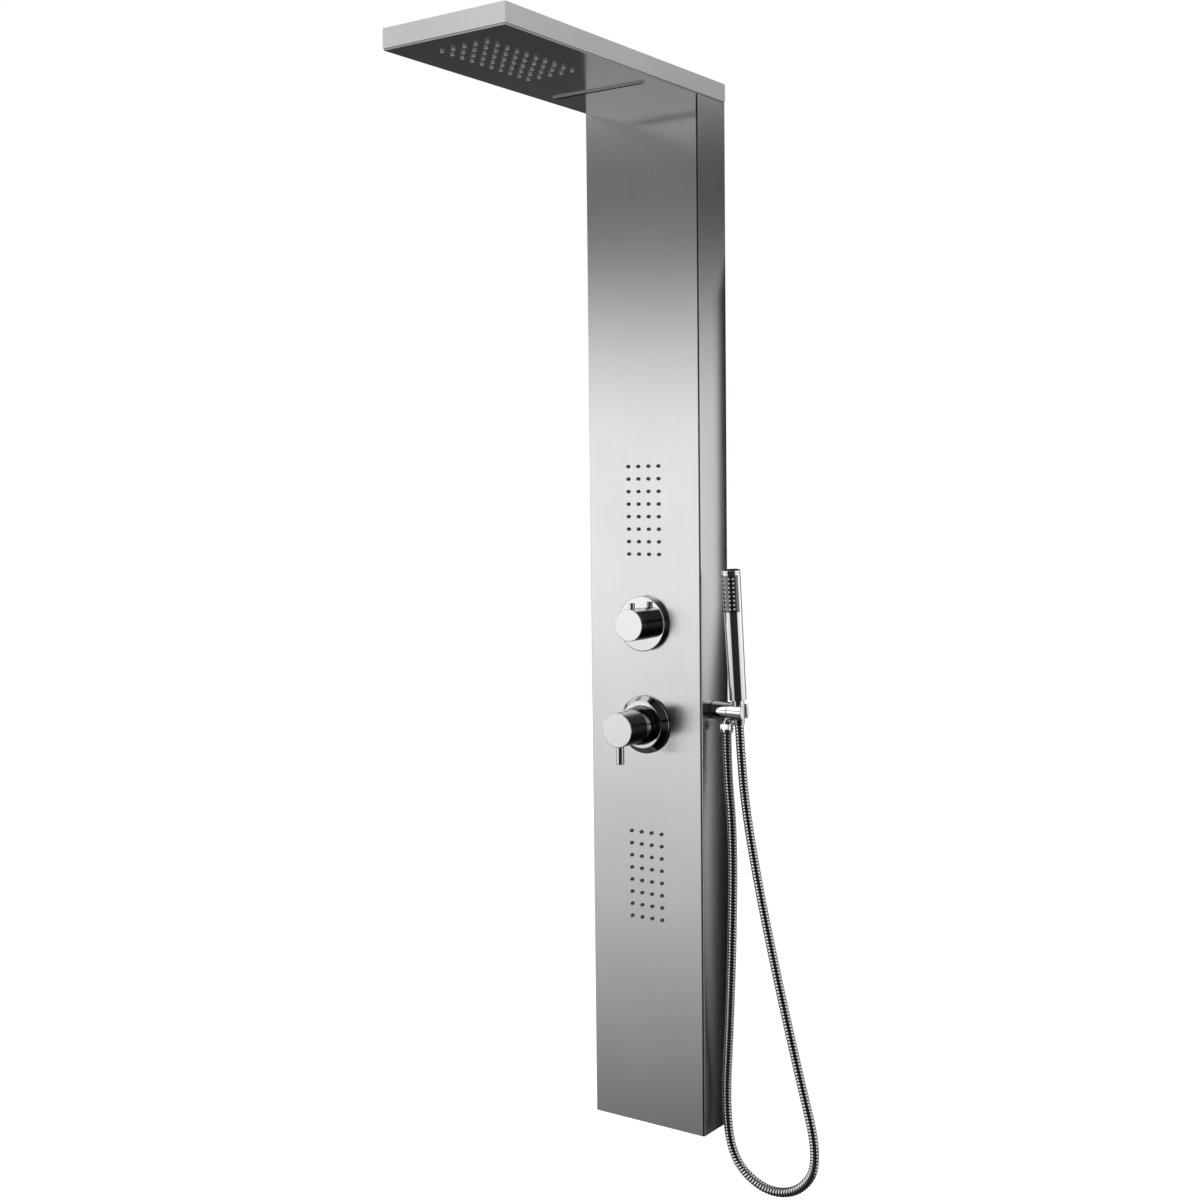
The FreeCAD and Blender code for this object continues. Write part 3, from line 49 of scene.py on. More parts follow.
millimetre = 0.001       # in metres
mergeDistance = 1e-6     # in metres
sharpDegrees = 38        # faces that meet at a wider angle than this keep a crisp edge
noiseSpan = (0.3, 0.7)   # nearly all of a noise texture's values lie in here
columnFront = -73.0      # where the column's front face lies along Y
towardsRoom, towardsRight, upwards, downwards = (0, -1, 0), (1, 0, 0), (0, 0, 1), (0, 0, -1)
diverterCentre = (0, columnFront, -585.4)
mixerCentre = (0, columnFront, -731.7)
forkCentre = np.array((135.5, -39.0, -708.35))
leanAngle = math.radians(5.5)
handsetAxis = (0, -math.sin(leanAngle), math.cos(leanAngle))
handsetBack = np.cross(handsetAxis, towardsRight)


# The faces of a grid of points: (i, j) joins (i + 1, j) and (i, j + 1), and the grid closes where asked.
def gridFaces(rows, columns, closeAlong=False, closeRound=True):
    i, j = np.meshgrid(np.arange(rows if closeAlong else rows - 1),
                       np.arange(columns if closeRound else columns - 1), indexing="ij")
    below, beside = (i + 1) % rows, (j + 1) % columns
    corners = [i * columns + j, below * columns + j, below * columns + beside, i * columns + beside]
    return np.stack(corners, axis=-1)


def roughMesh(points, faces):
    mesh = bpy.data.meshes.new("rough")
    mesh.from_pydata(points.reshape(-1, 3) * millimetre, [], faces.reshape(-1, 4))
    return mesh


# Make one piece of some meshes, and drop them. Points that touch are merged, and the faces turn outwards.
def pieceFrom(name, meshes, sharpAngle=sharpDegrees):
    edit = bmesh.new()
    for part in meshes:
        edit.from_mesh(part)
        bpy.data.meshes.remove(part)
    bmesh.ops.remove_doubles(edit, verts=edit.verts, dist=mergeDistance)
    bmesh.ops.recalc_face_normals(edit, faces=edit.faces)
    mesh = bpy.data.meshes.new(name)
    edit.to_mesh(mesh)
    edit.free()
    mesh.shade_smooth()
    mesh.set_sharp_from_angle(angle=math.radians(sharpAngle))
    piece = bpy.data.objects.new(name, mesh)
    bpy.context.scene.collection.objects.link(piece)
    return piece


def meshFromGrid(name, grid, closeAlong=False, closeRound=True, sharpAngle=sharpDegrees):
    faces = gridFaces(*grid.shape[:2], closeAlong, closeRound)
    return pieceFrom(name, [roughMesh(grid, faces)], sharpAngle)


# Soften a profile's corners. Each (radius, height, bevel) becomes a curve from one bevel before it to one
# bevel after: (1 - s) squared times the start, 2 s (1 - s) times the corner, s squared times the end. One
# more point on each side, a little further out, holds the shading of the flats beside the curve.
def softened(corners, steps=6, closed=False):
    holdShare = 0.12
    spots = np.array([corner[:2] for corner in corners], float)
    s = np.linspace(0, 1, steps)[:, None]
    points = []
    for index, (_, _, bevel) in enumerate(corners):
        here, before, after = spots[index], spots[index - 1], spots[(index + 1) % len(spots)]
        atEnd = not closed and index in (0, len(corners) - 1)
        if bevel == 0 or atEnd:
            points.append(here[None])
            continue
        start = here + (before - here) * bevel / np.linalg.norm(before - here)
        end = here + (after - here) * bevel / np.linalg.norm(after - here)
        hold = holdShare * bevel
        nearStart = start + (before - here) * hold / np.linalg.norm(before - here)
        nearEnd = end + (after - here) * hold / np.linalg.norm(after - here)
        bend = (1 - s) ** 2 * start + 2 * s * (1 - s) * here + s ** 2 * end
        points += [nearStart[None], bend, nearEnd[None]]
    return np.concatenate(points)


# Two directions square to an axis and to each other, and the axis itself, each one long.
def squareTo(axis):
    axis = np.array(axis, float) / np.linalg.norm(axis)
    hint = np.array((0.0, 0.0, 1.0) if abs(axis[2]) < 0.9 else (1.0, 0.0, 0.0))
    side = np.cross(hint, axis)
    side /= np.linalg.norm(side)
    return side, np.cross(axis, side), axis


# Lathe work. A point is the centre, plus its height along the axis, plus its radius at angle t round it.
def turnedPiece(name, profile, centre, axis, steps=128, closeAlong=False):
    side, other, axis = squareTo(axis)
    t = np.linspace(0, 2 * np.pi, steps, endpoint=False)
    ring = np.cos(t)[:, None] * side + np.sin(t)[:, None] * other
    grid = np.array(centre) + profile[:, 1][:, None, None] * axis + profile[:, 0][:, None, None] * ring[None]
    return meshFromGrid(name, grid, closeAlong=closeAlong)


# Cut one piece with others, and drop the cutters.
def carve(piece, *cutters):
    for cutter in cutters:
        cutting = piece.modifiers.new("carving", "BOOLEAN")
        cutting.operation = "DIFFERENCE"
        cutting.solver = "EXACT"
        cutting.object = cutter
        bpy.context.view_layer.update()
        shape = bpy.data.meshes.new_from_object(piece.evaluated_get(bpy.context.evaluated_depsgraph_get()))
        piece.modifiers.clear()
        piece.data = shape
        bpy.data.objects.remove(cutter)
    piece.data.shade_smooth()
    piece.data.set_sharp_from_angle(angle=math.radians(sharpDegrees))
    return piece


# Put a piece on its body in place of the CAD nodes, with its material.
def fit(piece, body, material, slot, *replaced):
    piece.data.materials.clear()
    piece.data.materials.append(material)
    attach(piece, body)
    if replaced:
        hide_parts(*replaced)
    return piece


def linear(hexColour):
    # sRGB to linear: below 0.04045 a straight line, above it a power of 2.4.
    levels = [int(hexColour[k:k + 2], 16) / 255 for k in (1, 3, 5)]
    return tuple(v / 12.92 if v <= 0.04045 else ((v + 0.055) / 1.055) ** 2.4 for v in levels) + (1.0,)


def addNode(tree, kind, inputs=None, **settings):
    node = tree.nodes.new(kind)
    for key, value in settings.items():
        setattr(node, key, value)
    for key, value in (inputs or {}).items():
        if isinstance(value, bpy.types.NodeSocket):
            tree.links.new(value, node.inputs[key])
        else:
            node.inputs[key].default_value = value
    return node


# Map a value from its span to two levels, evenly or with a soft start and end.
def mapRange(tree, value, span, levels=(0.0, 1.0), way="LINEAR"):
    return addNode(tree, "ShaderNodeMapRange", {"Value": value, "From Min": span[0], "From Max": span[1],
                                                "To Min": levels[0], "To Max": levels[1]},
                   interpolation_type=way).outputs[0]


def newMaterial(name):
    material = bpy.data.materials.new(name)
    material.use_nodes = True
    material.node_tree.nodes.clear()
    return material, material.node_tree


def endWithSurface(tree, inputs):
    surface = addNode(tree, "ShaderNodeBsdfPrincipled", inputs)
    addNode(tree, "ShaderNodeOutputMaterial", {"Surface": surface.outputs[0]})


# Scratches of a metal or the grain of a moulding: noise, with cells `cell` millimetres long in X, Y and Z.
def grainPattern(tree, cell, detail):
    place = addNode(tree, "ShaderNodeTexCoord").outputs["Object"]
    scaled = addNode(tree, "ShaderNodeMapping", {"Vector": place, "Scale": [1000 / c for c in cell]})
    noise = addNode(tree, "ShaderNodeTexNoise", {"Vector": scaled.outputs["Vector"], "Scale": 1.0,
                                                 "Detail": detail, "Roughness": 0.55})
    return noise.outputs["Fac"]


# A shaded surface whose roughness wanders by `spread` with a grain, whose grain stands up by `relief`
# millimetres, and whose colour drifts to its tint in clouds. A stretch smears its highlights round Z, or
# along it after a quarter turn.
def grainedMaterial(name, colour, tint, roughness, spread, cell, relief, metallic=1.0, stretch=0.0, turn=0.0,
                    cloud=180.0):
    material, tree = newMaterial(name)
    grain = grainPattern(tree, cell, 2.0)
    clouds = grainPattern(tree, (cloud, cloud, cloud), 1.0)
    rough = mapRange(tree, grain, noiseSpan, (roughness - spread, roughness + spread))
    shade = mapRange(tree, clouds, noiseSpan)
    base = addNode(tree, "ShaderNodeMix", {0: shade, 6: linear(colour), 7: linear(tint)}, data_type="RGBA")
    bump = addNode(tree, "ShaderNodeBump", {"Height": grain, "Strength": 0.6,
                                            "Distance": relief * millimetre})
    inputs = {"Base Color": base.outputs[2], "Metallic": metallic, "Roughness": rough,
              "Normal": bump.outputs[0]}
    if stretch:
        around = addNode(tree, "ShaderNodeTangent", direction_type="RADIAL", axis="Z")
        inputs.update({"Anisotropic": stretch, "Anisotropic Rotation": turn, "Tangent": around.outputs[0]})
    endWithSurface(tree, inputs)
    return material


# Stainless steel sheet brushed up and down with a fine belt: highlights smear sideways, and the long
# scratches are 0.1 mm wide on the real sheet, drawn 0.7 mm wide so that they show.
brushedColumnSteel = grainedMaterial("brushedColumnSteel", "#C6C7C8", "#CBCCCD", roughness=0.21, spread=0.02,
                                     cell=(0.7, 0.7, 60), relief=0.0002, stretch=0.8)
# The head's sheet is brushed along its length, so its highlights smear up and down.
brushedHeadSteel = grainedMaterial("brushedHeadSteel", "#C4C4C4", "#CACACA", roughness=0.30, spread=0.02,
                                   cell=(0.8, 60, 0.7), relief=0.0003, stretch=0.75, turn=0.25)
# Stainless steel polished after brushing: it mirrors the column, a little hazy.
polishedSteel = grainedMaterial("polishedSteel", "#999A9B", "#A1A1A2", roughness=0.14, spread=0.03,
                                cell=(0.9, 60, 0.9), relief=0.0002)
# Chromium plate over brass, buffed: a clear mirror with a faint ripple from the casting below, 6 mm long.
chromePlate = grainedMaterial("chromePlate", "#CDCFD0", "#C8CACC", roughness=0.045, spread=0.02,
                              cell=(6, 6, 6), relief=0.002)
# Chromium plate made whiter on the hand shower, its holder and the outlet: painted highlight in what it
# mirrors.
chromeWithPaintedHighlight = grainedMaterial("chromeWithPaintedHighlight", "#F6F7F8", "#F1F2F4", roughness=0.04, spread=0.02,
                              cell=(8, 8, 8), relief=0.001)
# Chromium plate made darker on the mixer's collar: painted shade in the gap between handle and flange.
# It takes half the light out of what it mirrors.
chromeWithPaintedShade = grainedMaterial("chromeWithPaintedShade", "#6E7072", "#696B6D", roughness=0.05, spread=0.02,
                               cell=(6, 6, 6), relief=0.002)
# Wound stainless strip, bright on the crests. In the hollow seams its colour is painted near black: painted
# shade.
hoseSteel = grainedMaterial("hoseSteel", "#F0F0F1", "#E6E7E8", roughness=0.07, spread=0.02,
                            cell=(1.2, 1.2, 1.2), relief=0.001)
seam = {"colour": "#17181A", "hollowness": (0.48, 0.53)}
tree = hoseSteel.node_tree
shading = next(node for node in tree.nodes if node.type == "BSDF_PRINCIPLED")
crest = shading.inputs["Base Color"].links[0].from_socket
# Painted shade: where pointiness finds the hollow of a seam, the colour goes to the seam's near black.
depth = mapRange(tree, addNode(tree, "ShaderNodeNewGeometry").outputs["Pointiness"], seam["hollowness"])
paintedSeamShade = addNode(tree, "ShaderNodeMix", {0: depth, 6: linear(seam["colour"]), 7: crest}, data_type="RGBA")
tree.links.new(paintedSeamShade.outputs[2], shading.inputs["Base Color"])
# Sheet as it comes from the rolling mill, on brackets and fixings.
rolledSteel = grainedMaterial("rolledSteel", "#B4B5B6", "#A4A5A7", roughness=0.42, spread=0.08,
                              cell=(2.5, 2.5, 2.5), relief=0.003)
# Brass turned on a lathe, dulled a little by handling.
turnedBrass = grainedMaterial("turnedBrass", "#C9A864", "#B8944F", roughness=0.33, spread=0.08,
                              cell=(0.5, 4, 0.5), relief=0.003, cloud=25)
# Black silicone rubber from a hot mould: no gloss. It also colours the painted shade rings round the spray
# tips.
darkSiliconeAndPaintedShade = grainedMaterial("darkSiliconeAndPaintedShade", "#414245", "#4A4B4E", roughness=0.62, spread=0.06,
                               cell=(0.6, 0.6, 0.6), relief=0.004, metallic=0.0)
# Pale grey silicone rubber, for the nipples that show under the head.
paleSilicone = grainedMaterial("paleSilicone", "#939597", "#88898B", roughness=0.45, spread=0.06,
                               cell=(0.6, 0.6, 0.6), relief=0.004, metallic=0.0)
# White silicone rubber, for the hand shower's spray tips.
whiteSilicone = grainedMaterial("whiteSilicone", "#EDEEEF", "#E4E5E6", roughness=0.38, spread=0.05,
                                cell=(0.6, 0.6, 0.6), relief=0.003, metallic=0.0)
# ABS with a satin chromium plate: it blurs what it mirrors, and a fine spark texture shows in it.
satinPlate = grainedMaterial("satinPlate", "#8F9193", "#88898B", roughness=0.34, spread=0.05,
                             cell=(0.5, 0.5, 0.5), relief=0.004)
# White acetal and ABS mouldings.
whiteMoulding = grainedMaterial("whiteMoulding", "#DEDEDB", "#D4D4D0", roughness=0.42, spread=0.05,
                                cell=(0.8, 0.8, 0.8), relief=0.004, metallic=0.0)
# Polyethylene water tube, smooth from its die, drawn out lengthwise.
waterTube = grainedMaterial("waterTube", "#D2D6DA", "#C6CCD2", roughness=0.36, spread=0.04,
                            cell=(1.5, 1.5, 40), relief=0.003, metallic=0.0)
print("materials made")

nodeFinish = {
    brushedColumnSteel: "column_shell bottom_end_plate",
    brushedHeadSteel: "head_cover",
    polishedSteel: "head_plate waterfall_lip",
    rolledSteel: """upper_wall_bracket lower_wall_bracket upper_panel_hanger lower_panel_hanger
        bracket_retaining_screws panel_studs stud_nuts head_fixing_bolts head_fixing_nuts
        mixer_grub_screw diverter_grub_screw holder_grub_screw""",
    chromePlate: "diverter_flange diverter_knob diverter_pin mixer_flange mixer_handle mixer_lever_pin",
    chromeWithPaintedShade: "mixer_collar",
    chromeWithPaintedHighlight: "outlet_elbow hose_nut hose_cone_nut holder_fork handset_body handset_end_cap",
    hoseSteel: "hose",
    turnedBrass: """diverter_body mixer_body diverter_spindle diverter_lock_nut mixer_lock_nut
        mixer_cartridge_nut link_pipe outlet_back_nut mixer_stem""",
    darkSiliconeAndPaintedShade: "outlet_seal upper_jet_mat lower_jet_mat",
    paleSilicone: "rain_nozzle_mat",
    satinPlate: "handset_nozzle_plate",
    whiteMoulding: """diverter_cartridge mixer_cartridge mixer_carrier rain_chamber waterfall_chamber
        upper_jet_box lower_jet_box holder_washer""",
    waterTube: "rain_feed_pipe waterfall_feed_pipe upper_jet_pipe lower_jet_pipe handset_feed_pipe",
}
for material, names in nodeFinish.items():
    for name in names.split():
        nodes[name].data.materials.clear()
        nodes[name].data.materials.append(material)
print("CAD nodes finished:", sum(len(names.split()) for names in nodeFinish.values()))


def ahead(centre, distance):
    return (centre[0], centre[1] - distance, centre[2])


# A round pin that stands out of a knob: its root is hidden inside, and its free end has a soft edge.
def pinProfile(radius, root, end, edge, steps):
    return softened([(0, root, 0), (radius, root, 0), (radius, end, edge), (0, end, 0)], steps)


# The cutter for a knob's grub screw, a plain cylinder that comes up from below.
def grubHole(part, centre):
    radius, low, high = part["grubRadius"], part["grubFloor"], part["grubTop"]
    outline = np.array([(0, low), (radius, low), (radius, high), (0, high)], float)
    return turnedPiece("hole", outline, ahead(centre, part["grubFront"]), downwards, steps=32)


diverter = {"flangeRadius": 40, "flangeThick": 9.7, "flangeRim": 9.3, "flangeEdge": 1.5, "hole": 12.4,
            "wall": 1.5, "knobRadius": 23, "knobBack": 10.2, "knobFront": 42, "knobEdge": 0.9,
            "recess": 15, "recessDeep": 4, "pinRadius": 4.5, "pinFront": 33, "pinRoot": 8, "pinProud": 8.4,
            "pinEdge": 0.5, "grubRadius": 2.5, "grubFront": 22, "grubFloor": 12, "grubTop": 30}
d = diverter
innerRadius = d["flangeRadius"] - d["wall"]
profile = softened([(d["hole"], d["flangeThick"] - d["wall"], 0), (d["hole"], d["flangeThick"], 0.3),
                    (d["flangeRadius"], d["flangeRim"], d["flangeEdge"]), (d["flangeRadius"], 0, 0.2),
                    (innerRadius, 0, 0), (innerRadius, d["flangeRim"] - d["wall"], 0)], steps=8, closed=True)
flange = turnedPiece("diverterFlange", profile, diverterCentre, towardsRoom, closeAlong=True)
fit(flange, "root", chromePlate, "chrome_plate", "diverter_flange")
recessFloor = d["knobBack"] + d["recessDeep"]
profile = softened([(0, recessFloor, 0), (d["recess"], recessFloor, 0), (d["recess"], d["knobBack"], 0.3),
                    (d["knobRadius"], d["knobBack"], 0.4),
                    (d["knobRadius"], d["knobFront"], d["knobEdge"]), (0, d["knobFront"], 0)], steps=7)
knob = turnedPiece("diverterKnob", profile, diverterCentre, towardsRoom)
fit(carve(knob, grubHole(d, diverterCentre)), "diverter_dial", chromePlate, "chrome_plate", "diverter_knob")
profile = pinProfile(d["pinRadius"], d["pinRoot"], d["knobRadius"] + d["pinProud"], d["pinEdge"], steps=5)
pin = turnedPiece("diverterPin", profile, ahead(diverterCentre, d["pinFront"]), upwards, steps=48)
fit(pin, "diverter_dial", chromePlate, "chrome_plate", "diverter_pin")

mixer = {"rim": 42.5, "rimHigh": 3.5, "crown": 34.5, "shoulder": 12.2, "thick": 12.3, "hole": 28.4,
         "wall": 1.5, "collarRadius": 28, "collarFoot": 6, "pivot": 18, "collarWall": 1.8, "opening": 17,
         "seat": 22, "handleRadius": 24.75, "handleBack": 33, "handleFront": 73.5, "handleEdge": 1.0,
         "backInset": 0.5, "hollow": 28.4,
         "leverRadius": 5.75, "leverFront": 65.5, "leverRoot": 9, "leverProud": 24.5, "leverEdge": 0.9,
         "grubRadius": 2.5, "grubFront": 53, "grubFloor": 13, "grubTop": 30}
m = mixer
profile = softened([(m["rim"] - m["wall"], 0, 0), (m["rim"], 0, 0.2), (m["rim"], m["rimHigh"], 1.6),
                    (m["crown"], m["shoulder"], 1.5), (m["hole"], m["thick"], 0.4),
                    (m["hole"], m["thick"] - m["wall"], 0),
                    (m["crown"] - m["wall"], m["shoulder"] - m["wall"], 0),
                    (m["rim"] - m["wall"], m["rimHigh"] - m["wall"] / 2, 0)], steps=8, closed=True)
flange = turnedPiece("mixerFlange", profile, mixerCentre, towardsRoom, closeAlong=True)
fit(flange, "root", chromePlate, "chrome_plate", "mixer_flange")


# An arc of a ball round the mixer's pivot: height = pivot + radius sin a, distance off the axis = radius
# cos a. The collar ends in such a half ball, and the handle is hollowed to fit over it.
def ballArc(radius, startRadius, endRadius, steps=24):
    a = np.linspace(math.acos(startRadius / radius), math.acos(endRadius / radius), steps)
    return np.stack([radius * np.cos(a), m["pivot"] + radius * np.sin(a)], axis=1)


inner = m["collarRadius"] - m["collarWall"]
footTop = m["collarFoot"] + 2 * m["collarWall"]
profile = np.concatenate([
    [(m["seat"], m["collarFoot"]), (m["collarRadius"], m["collarFoot"]), (m["collarRadius"], m["thick"])],
    ballArc(m["collarRadius"], m["collarRadius"], m["opening"]), ballArc(inner, m["opening"], inner)[1:],
    [(inner, footTop), (m["seat"], footTop)]])
collar = turnedPiece("mixerCollar", profile, mixerCentre, towardsRoom, closeAlong=True)
fit(collar, "root", chromeWithPaintedShade, "chrome_plate", "mixer_collar")
outside = softened([(m["handleRadius"] - m["backInset"], m["handleBack"], 0),
                    (m["handleRadius"], m["handleBack"], 0.3),
                    (m["handleRadius"], m["handleFront"], m["handleEdge"]), (0, m["handleFront"], 0)], steps=7)
hollowRim = math.sqrt(m["hollow"] ** 2 - (m["handleBack"] - m["pivot"]) ** 2)
inside = ballArc(m["hollow"], 0.001, hollowRim, steps=20)
profile = np.concatenate([[(0, m["pivot"] + m["hollow"])], inside, outside])
handle = turnedPiece("mixerHandle", profile, mixerCentre, towardsRoom)
fit(carve(handle, grubHole(m, mixerCentre)), "mixer_lever", chromePlate, "chrome_plate", "mixer_handle")
profile = pinProfile(m["leverRadius"], m["leverRoot"], m["handleRadius"] + m["leverProud"], m["leverEdge"],
                     steps=6)
pin = turnedPiece("mixerLeverPin", profile, ahead(mixerCentre, m["leverFront"]), downwards, steps=64)
fit(pin, "mixer_lever", chromePlate, "chrome_plate", "mixer_lever_pin")
print("knobs made")


# The nut's rings are (height above its foot, limit on the radius beyond half the width across flats): a
# turned lead, the full hexagon, its turned end and a plain skirt.
outlet = {"armY": -39, "armZ": -708.35, "armRadius": 13, "armStart": 96, "armEnd": 121.8, "armEdge": 0.3,
          "spoutX": 116.5, "spoutRadius": 8.33, "spoutLong": 28, "shankStart": 77.5, "stubRadius": 4.5,
          "stubEnd": 125.6, "neckRadius": 5.2, "threadStep": 0.6, "collarTop": 14, "collarHigh": 2.2,
          "nutTop": 17.7, "nutLong": 12.7, "nutAcross": 19, "nutBore": 8.33, "nutFloor": 2.2, "bore": 4.5,
          "nutRings": [(0, 0.1), (0.9, math.inf), (7.6, math.inf), (8.4, 0.4), (8.8, -0.4), (12.2, -0.6),
                       (12.7, -1.2)]}
o = outlet
profile = softened([(0, o["shankStart"], 0), (o["spoutRadius"], o["shankStart"], 0.3),
                    (o["spoutRadius"], o["armStart"], 0), (o["armRadius"], o["armStart"], 0.3),
                    (o["armRadius"], o["armEnd"], o["armEdge"]), (o["stubRadius"], o["armEnd"], 0),
                    (o["stubRadius"], o["stubEnd"], 0.3), (0, o["stubEnd"], 0)])
arm = turnedPiece("outletArm", profile, (0, o["armY"], o["armZ"]), towardsRight)
fit(arm, "root", chromeWithPaintedHighlight, "chrome_plate", "outlet_elbow")
collarEnd, threadRadius = o["collarTop"] + o["collarHigh"], o["spoutRadius"] - o["threadStep"]
profile = softened([(0, o["armRadius"] / 2, 0), (o["neckRadius"], o["armRadius"] / 2, 0),
                    (o["neckRadius"], o["collarTop"], 0), (o["spoutRadius"], o["collarTop"], 0.4),
                    (o["spoutRadius"], collarEnd, 0.4), (threadRadius, collarEnd, 0),
                    (threadRadius, o["spoutLong"], 0.4), (0, o["spoutLong"], 0)], steps=5)
spoutPlace = (o["spoutX"], o["armY"], o["armZ"])
fit(turnedPiece("outletSpout", profile, spoutPlace, downwards, steps=64), "root", chromeWithPaintedHighlight, "chrome_plate")


# A hexagon nut: the radius at angle t is half the width across flats over cos of the angle from the nearest
# flat, kept under each ring's limit. Inside, a bore for the thread ends at a floor with a smaller hole.
def hexNut(name, part, centre, axis):
    side, other, axis = squareTo(axis)
    half, foot, head = part["nutAcross"] / 2, part["nutTop"], part["nutTop"] + part["nutLong"]
    t = np.linspace(0, 2 * np.pi, 144, endpoint=False)
    flat = half / np.cos((t + np.pi / 6) % (np.pi / 3) - np.pi / 6)
    rings = [(foot + height, np.minimum(flat, half + limit)) for height, limit in part["nutRings"]]
    rings += [(head, part["bore"]), (head - part["nutFloor"], part["bore"]),
              (head - part["nutFloor"], part["nutBore"]), (foot, part["nutBore"])]
    levels = np.array([level for level, _ in rings])
    radii = np.array([np.broadcast_to(radius, t.shape) for _, radius in rings])
    ring = np.cos(t)[:, None] * side + np.sin(t)[:, None] * other
    grid = np.array(centre) + levels[:, None, None] * axis + radii[:, :, None] * ring[None]
    return meshFromGrid(name, grid, closeAlong=True, sharpAngle=25)


fit(hexNut("hoseNut", o, spoutPlace, downwards), "root", chromeWithPaintedHighlight, "chrome_plate", "hose_nut")

# The fork is a round bar in line with the arm. An upright conical bore goes through it, and a slot opens the
# bore towards the bar's end, so that the hose can slip in. Bore and slot are cut out of the turned bar.
fork = {"radius": 13, "left": -13.15, "end": 10.5, "edge": 1.0, "slot": 14.6, "boreLow": 8.4,
        "boreHigh": 10.2, "boreHalf": 15.5, "socketRadius": 4.55, "socketEnd": -9, "edgeRounding": 0.45,
        "cutPast": 6, "slotPast": 5}
f = fork
profile = softened([(0, f["socketEnd"], 0), (f["socketRadius"], f["socketEnd"], 0),
                    (f["socketRadius"], f["left"], 0), (f["radius"], f["left"], 0.3),
                    (f["radius"], f["end"], f["edge"]), (0, f["end"], 0)])
forkPiece = turnedPiece("holderFork", profile, forkCentre, towardsRight)
slope = (f["boreHigh"] - f["boreLow"]) / (2 * f["boreHalf"])
middle, past = (f["boreHigh"] + f["boreLow"]) / 2, f["radius"] + f["cutPast"]
cone = [(0, -past), (middle - slope * past, -past), (middle + slope * past, past), (0, past)]
boreCutter = turnedPiece("bore", np.array(cone), forkCentre, handsetAxis)


# The slot's cutter: rings of a rectangle stacked up the leaning axis, closed by a point at each end.
def slotBlock(name, near, far, halfWide, halfHigh):
    corners = np.array([(near, -halfWide), (far, -halfWide), (far, halfWide), (near, halfWide)])
    flat = corners[:, :1] * np.array(towardsRight) + corners[:, 1:] * handsetBack
    centre = np.broadcast_to(flat.mean(axis=0), flat.shape)
    ring = np.stack([centre, flat, flat, centre])
    height = np.array([-halfHigh, -halfHigh, halfHigh, halfHigh])[:, None, None]
    return meshFromGrid(name, forkCentre + ring + height * np.array(handsetAxis), sharpAngle=20)


carve(forkPiece, boreCutter, slotBlock("slot", 0, f["end"] + f["slotPast"], f["slot"] / 2, past))
rounding = forkPiece.modifiers.new("edges", "BEVEL")
rounding.width = f["edgeRounding"] * millimetre
rounding.segments = 3
rounding.limit_method = "ANGLE"
rounding.angle_limit = math.radians(40)
rounding.harden_normals = True
fit(forkPiece, "holder", chromeWithPaintedHighlight, "chrome_plate", "holder_fork")
print("outlet and fork made")


handset = {"nutBottom": -18.7, "nutTop": 10, "nutLow": 7.87, "nutHigh": 9.53, "nutFloor": 3,
           "spigotRadius": 7.45, "spigotLow": -2, "spigotHigh": 10, "neck": 8.7, "neckTop": 17.5,
           "bodyLow": 12.25, "bodyHigh": 13.25, "bodyEnd": 199, "capThick": 4, "capEdge": 1.2, "capFoot": 0.2,
           "capInset": 0.05, "sprayLow": 143, "sprayHigh": 198, "sprayAngle": 160, "proud": 0.12,
           "plateFoot": -1.5, "plateEdge": 0.5, "columns": 4, "rows": 8, "columnStep": 27, "rowStep": 6.1,
           "tipRadius": 1.3, "tipProud": 0.8, "tipEdge": 0.35, "tipRoot": -0.6, "jetRadius": 0.5,
           "jetFloor": 0.2, "holeRadius": 1.85, "holeRoot": -0.5, "holeRim": 0.12, "holeFloor": 0.02}
h = handset
nutFloor = h["nutBottom"] + h["nutFloor"]
profile = softened([(o["bore"], h["nutBottom"], 0), (h["nutLow"], h["nutBottom"], 0.5),
                    (h["nutHigh"], h["nutTop"], 0.4), (h["spigotRadius"], h["nutTop"], 0),
                    (h["spigotRadius"], nutFloor, 0), (o["bore"], nutFloor, 0)], closed=True)
coneNut = turnedPiece("hoseConeNut", profile, forkCentre, handsetAxis, steps=96, closeAlong=True)
fit(coneNut, "hand_shower", chromeWithPaintedHighlight, "chrome_plate", "hose_cone_nut")
profile = softened([(0, h["spigotLow"], 0), (h["spigotRadius"], h["spigotLow"], 0.3),
                    (h["spigotRadius"], h["spigotHigh"], 0), (h["neck"], h["spigotHigh"], 0.3),
                    (h["neck"], h["neckTop"], 0), (h["bodyLow"], h["neckTop"], 0.6),
                    (h["bodyHigh"], h["bodyEnd"], 0.25), (0, h["bodyEnd"], 0)])
grip = turnedPiece("handsetBody", profile, forkCentre, handsetAxis)
fit(grip, "hand_shower", chromeWithPaintedHighlight, "chrome_plate", "handset_body")
capTop = h["bodyEnd"] + h["capThick"]
profile = softened([(0, h["bodyEnd"], 0), (h["bodyHigh"] - h["capFoot"], h["bodyEnd"], 0.15),
                    (h["bodyHigh"] - h["capInset"], capTop, h["capEdge"]), (0, capTop, 0)])
endCap = turnedPiece("handsetEndCap", profile, forkCentre, handsetAxis)
fit(endCap, "hand_shower", chromeWithPaintedHighlight, "chrome_plate", "handset_end_cap")


# A place on the grip's front: angle a from straight ahead, distance s up the grip, and `lift` above the grip,
# whose radius grows evenly from its foot to its end.
def gripPoints(a, s, lift):
    growth = (np.asarray(s, float) - h["neckTop"]) / (h["bodyEnd"] - h["neckTop"])
    radius = h["bodyLow"] + (h["bodyHigh"] - h["bodyLow"]) * growth + lift
    sideways, backwards = (radius * np.sin(a))[..., None], (radius * np.cos(a))[..., None]
    return (forkCentre + s[..., None] * np.array(handsetAxis)
            + sideways * np.array(towardsRight) - backwards * handsetBack)


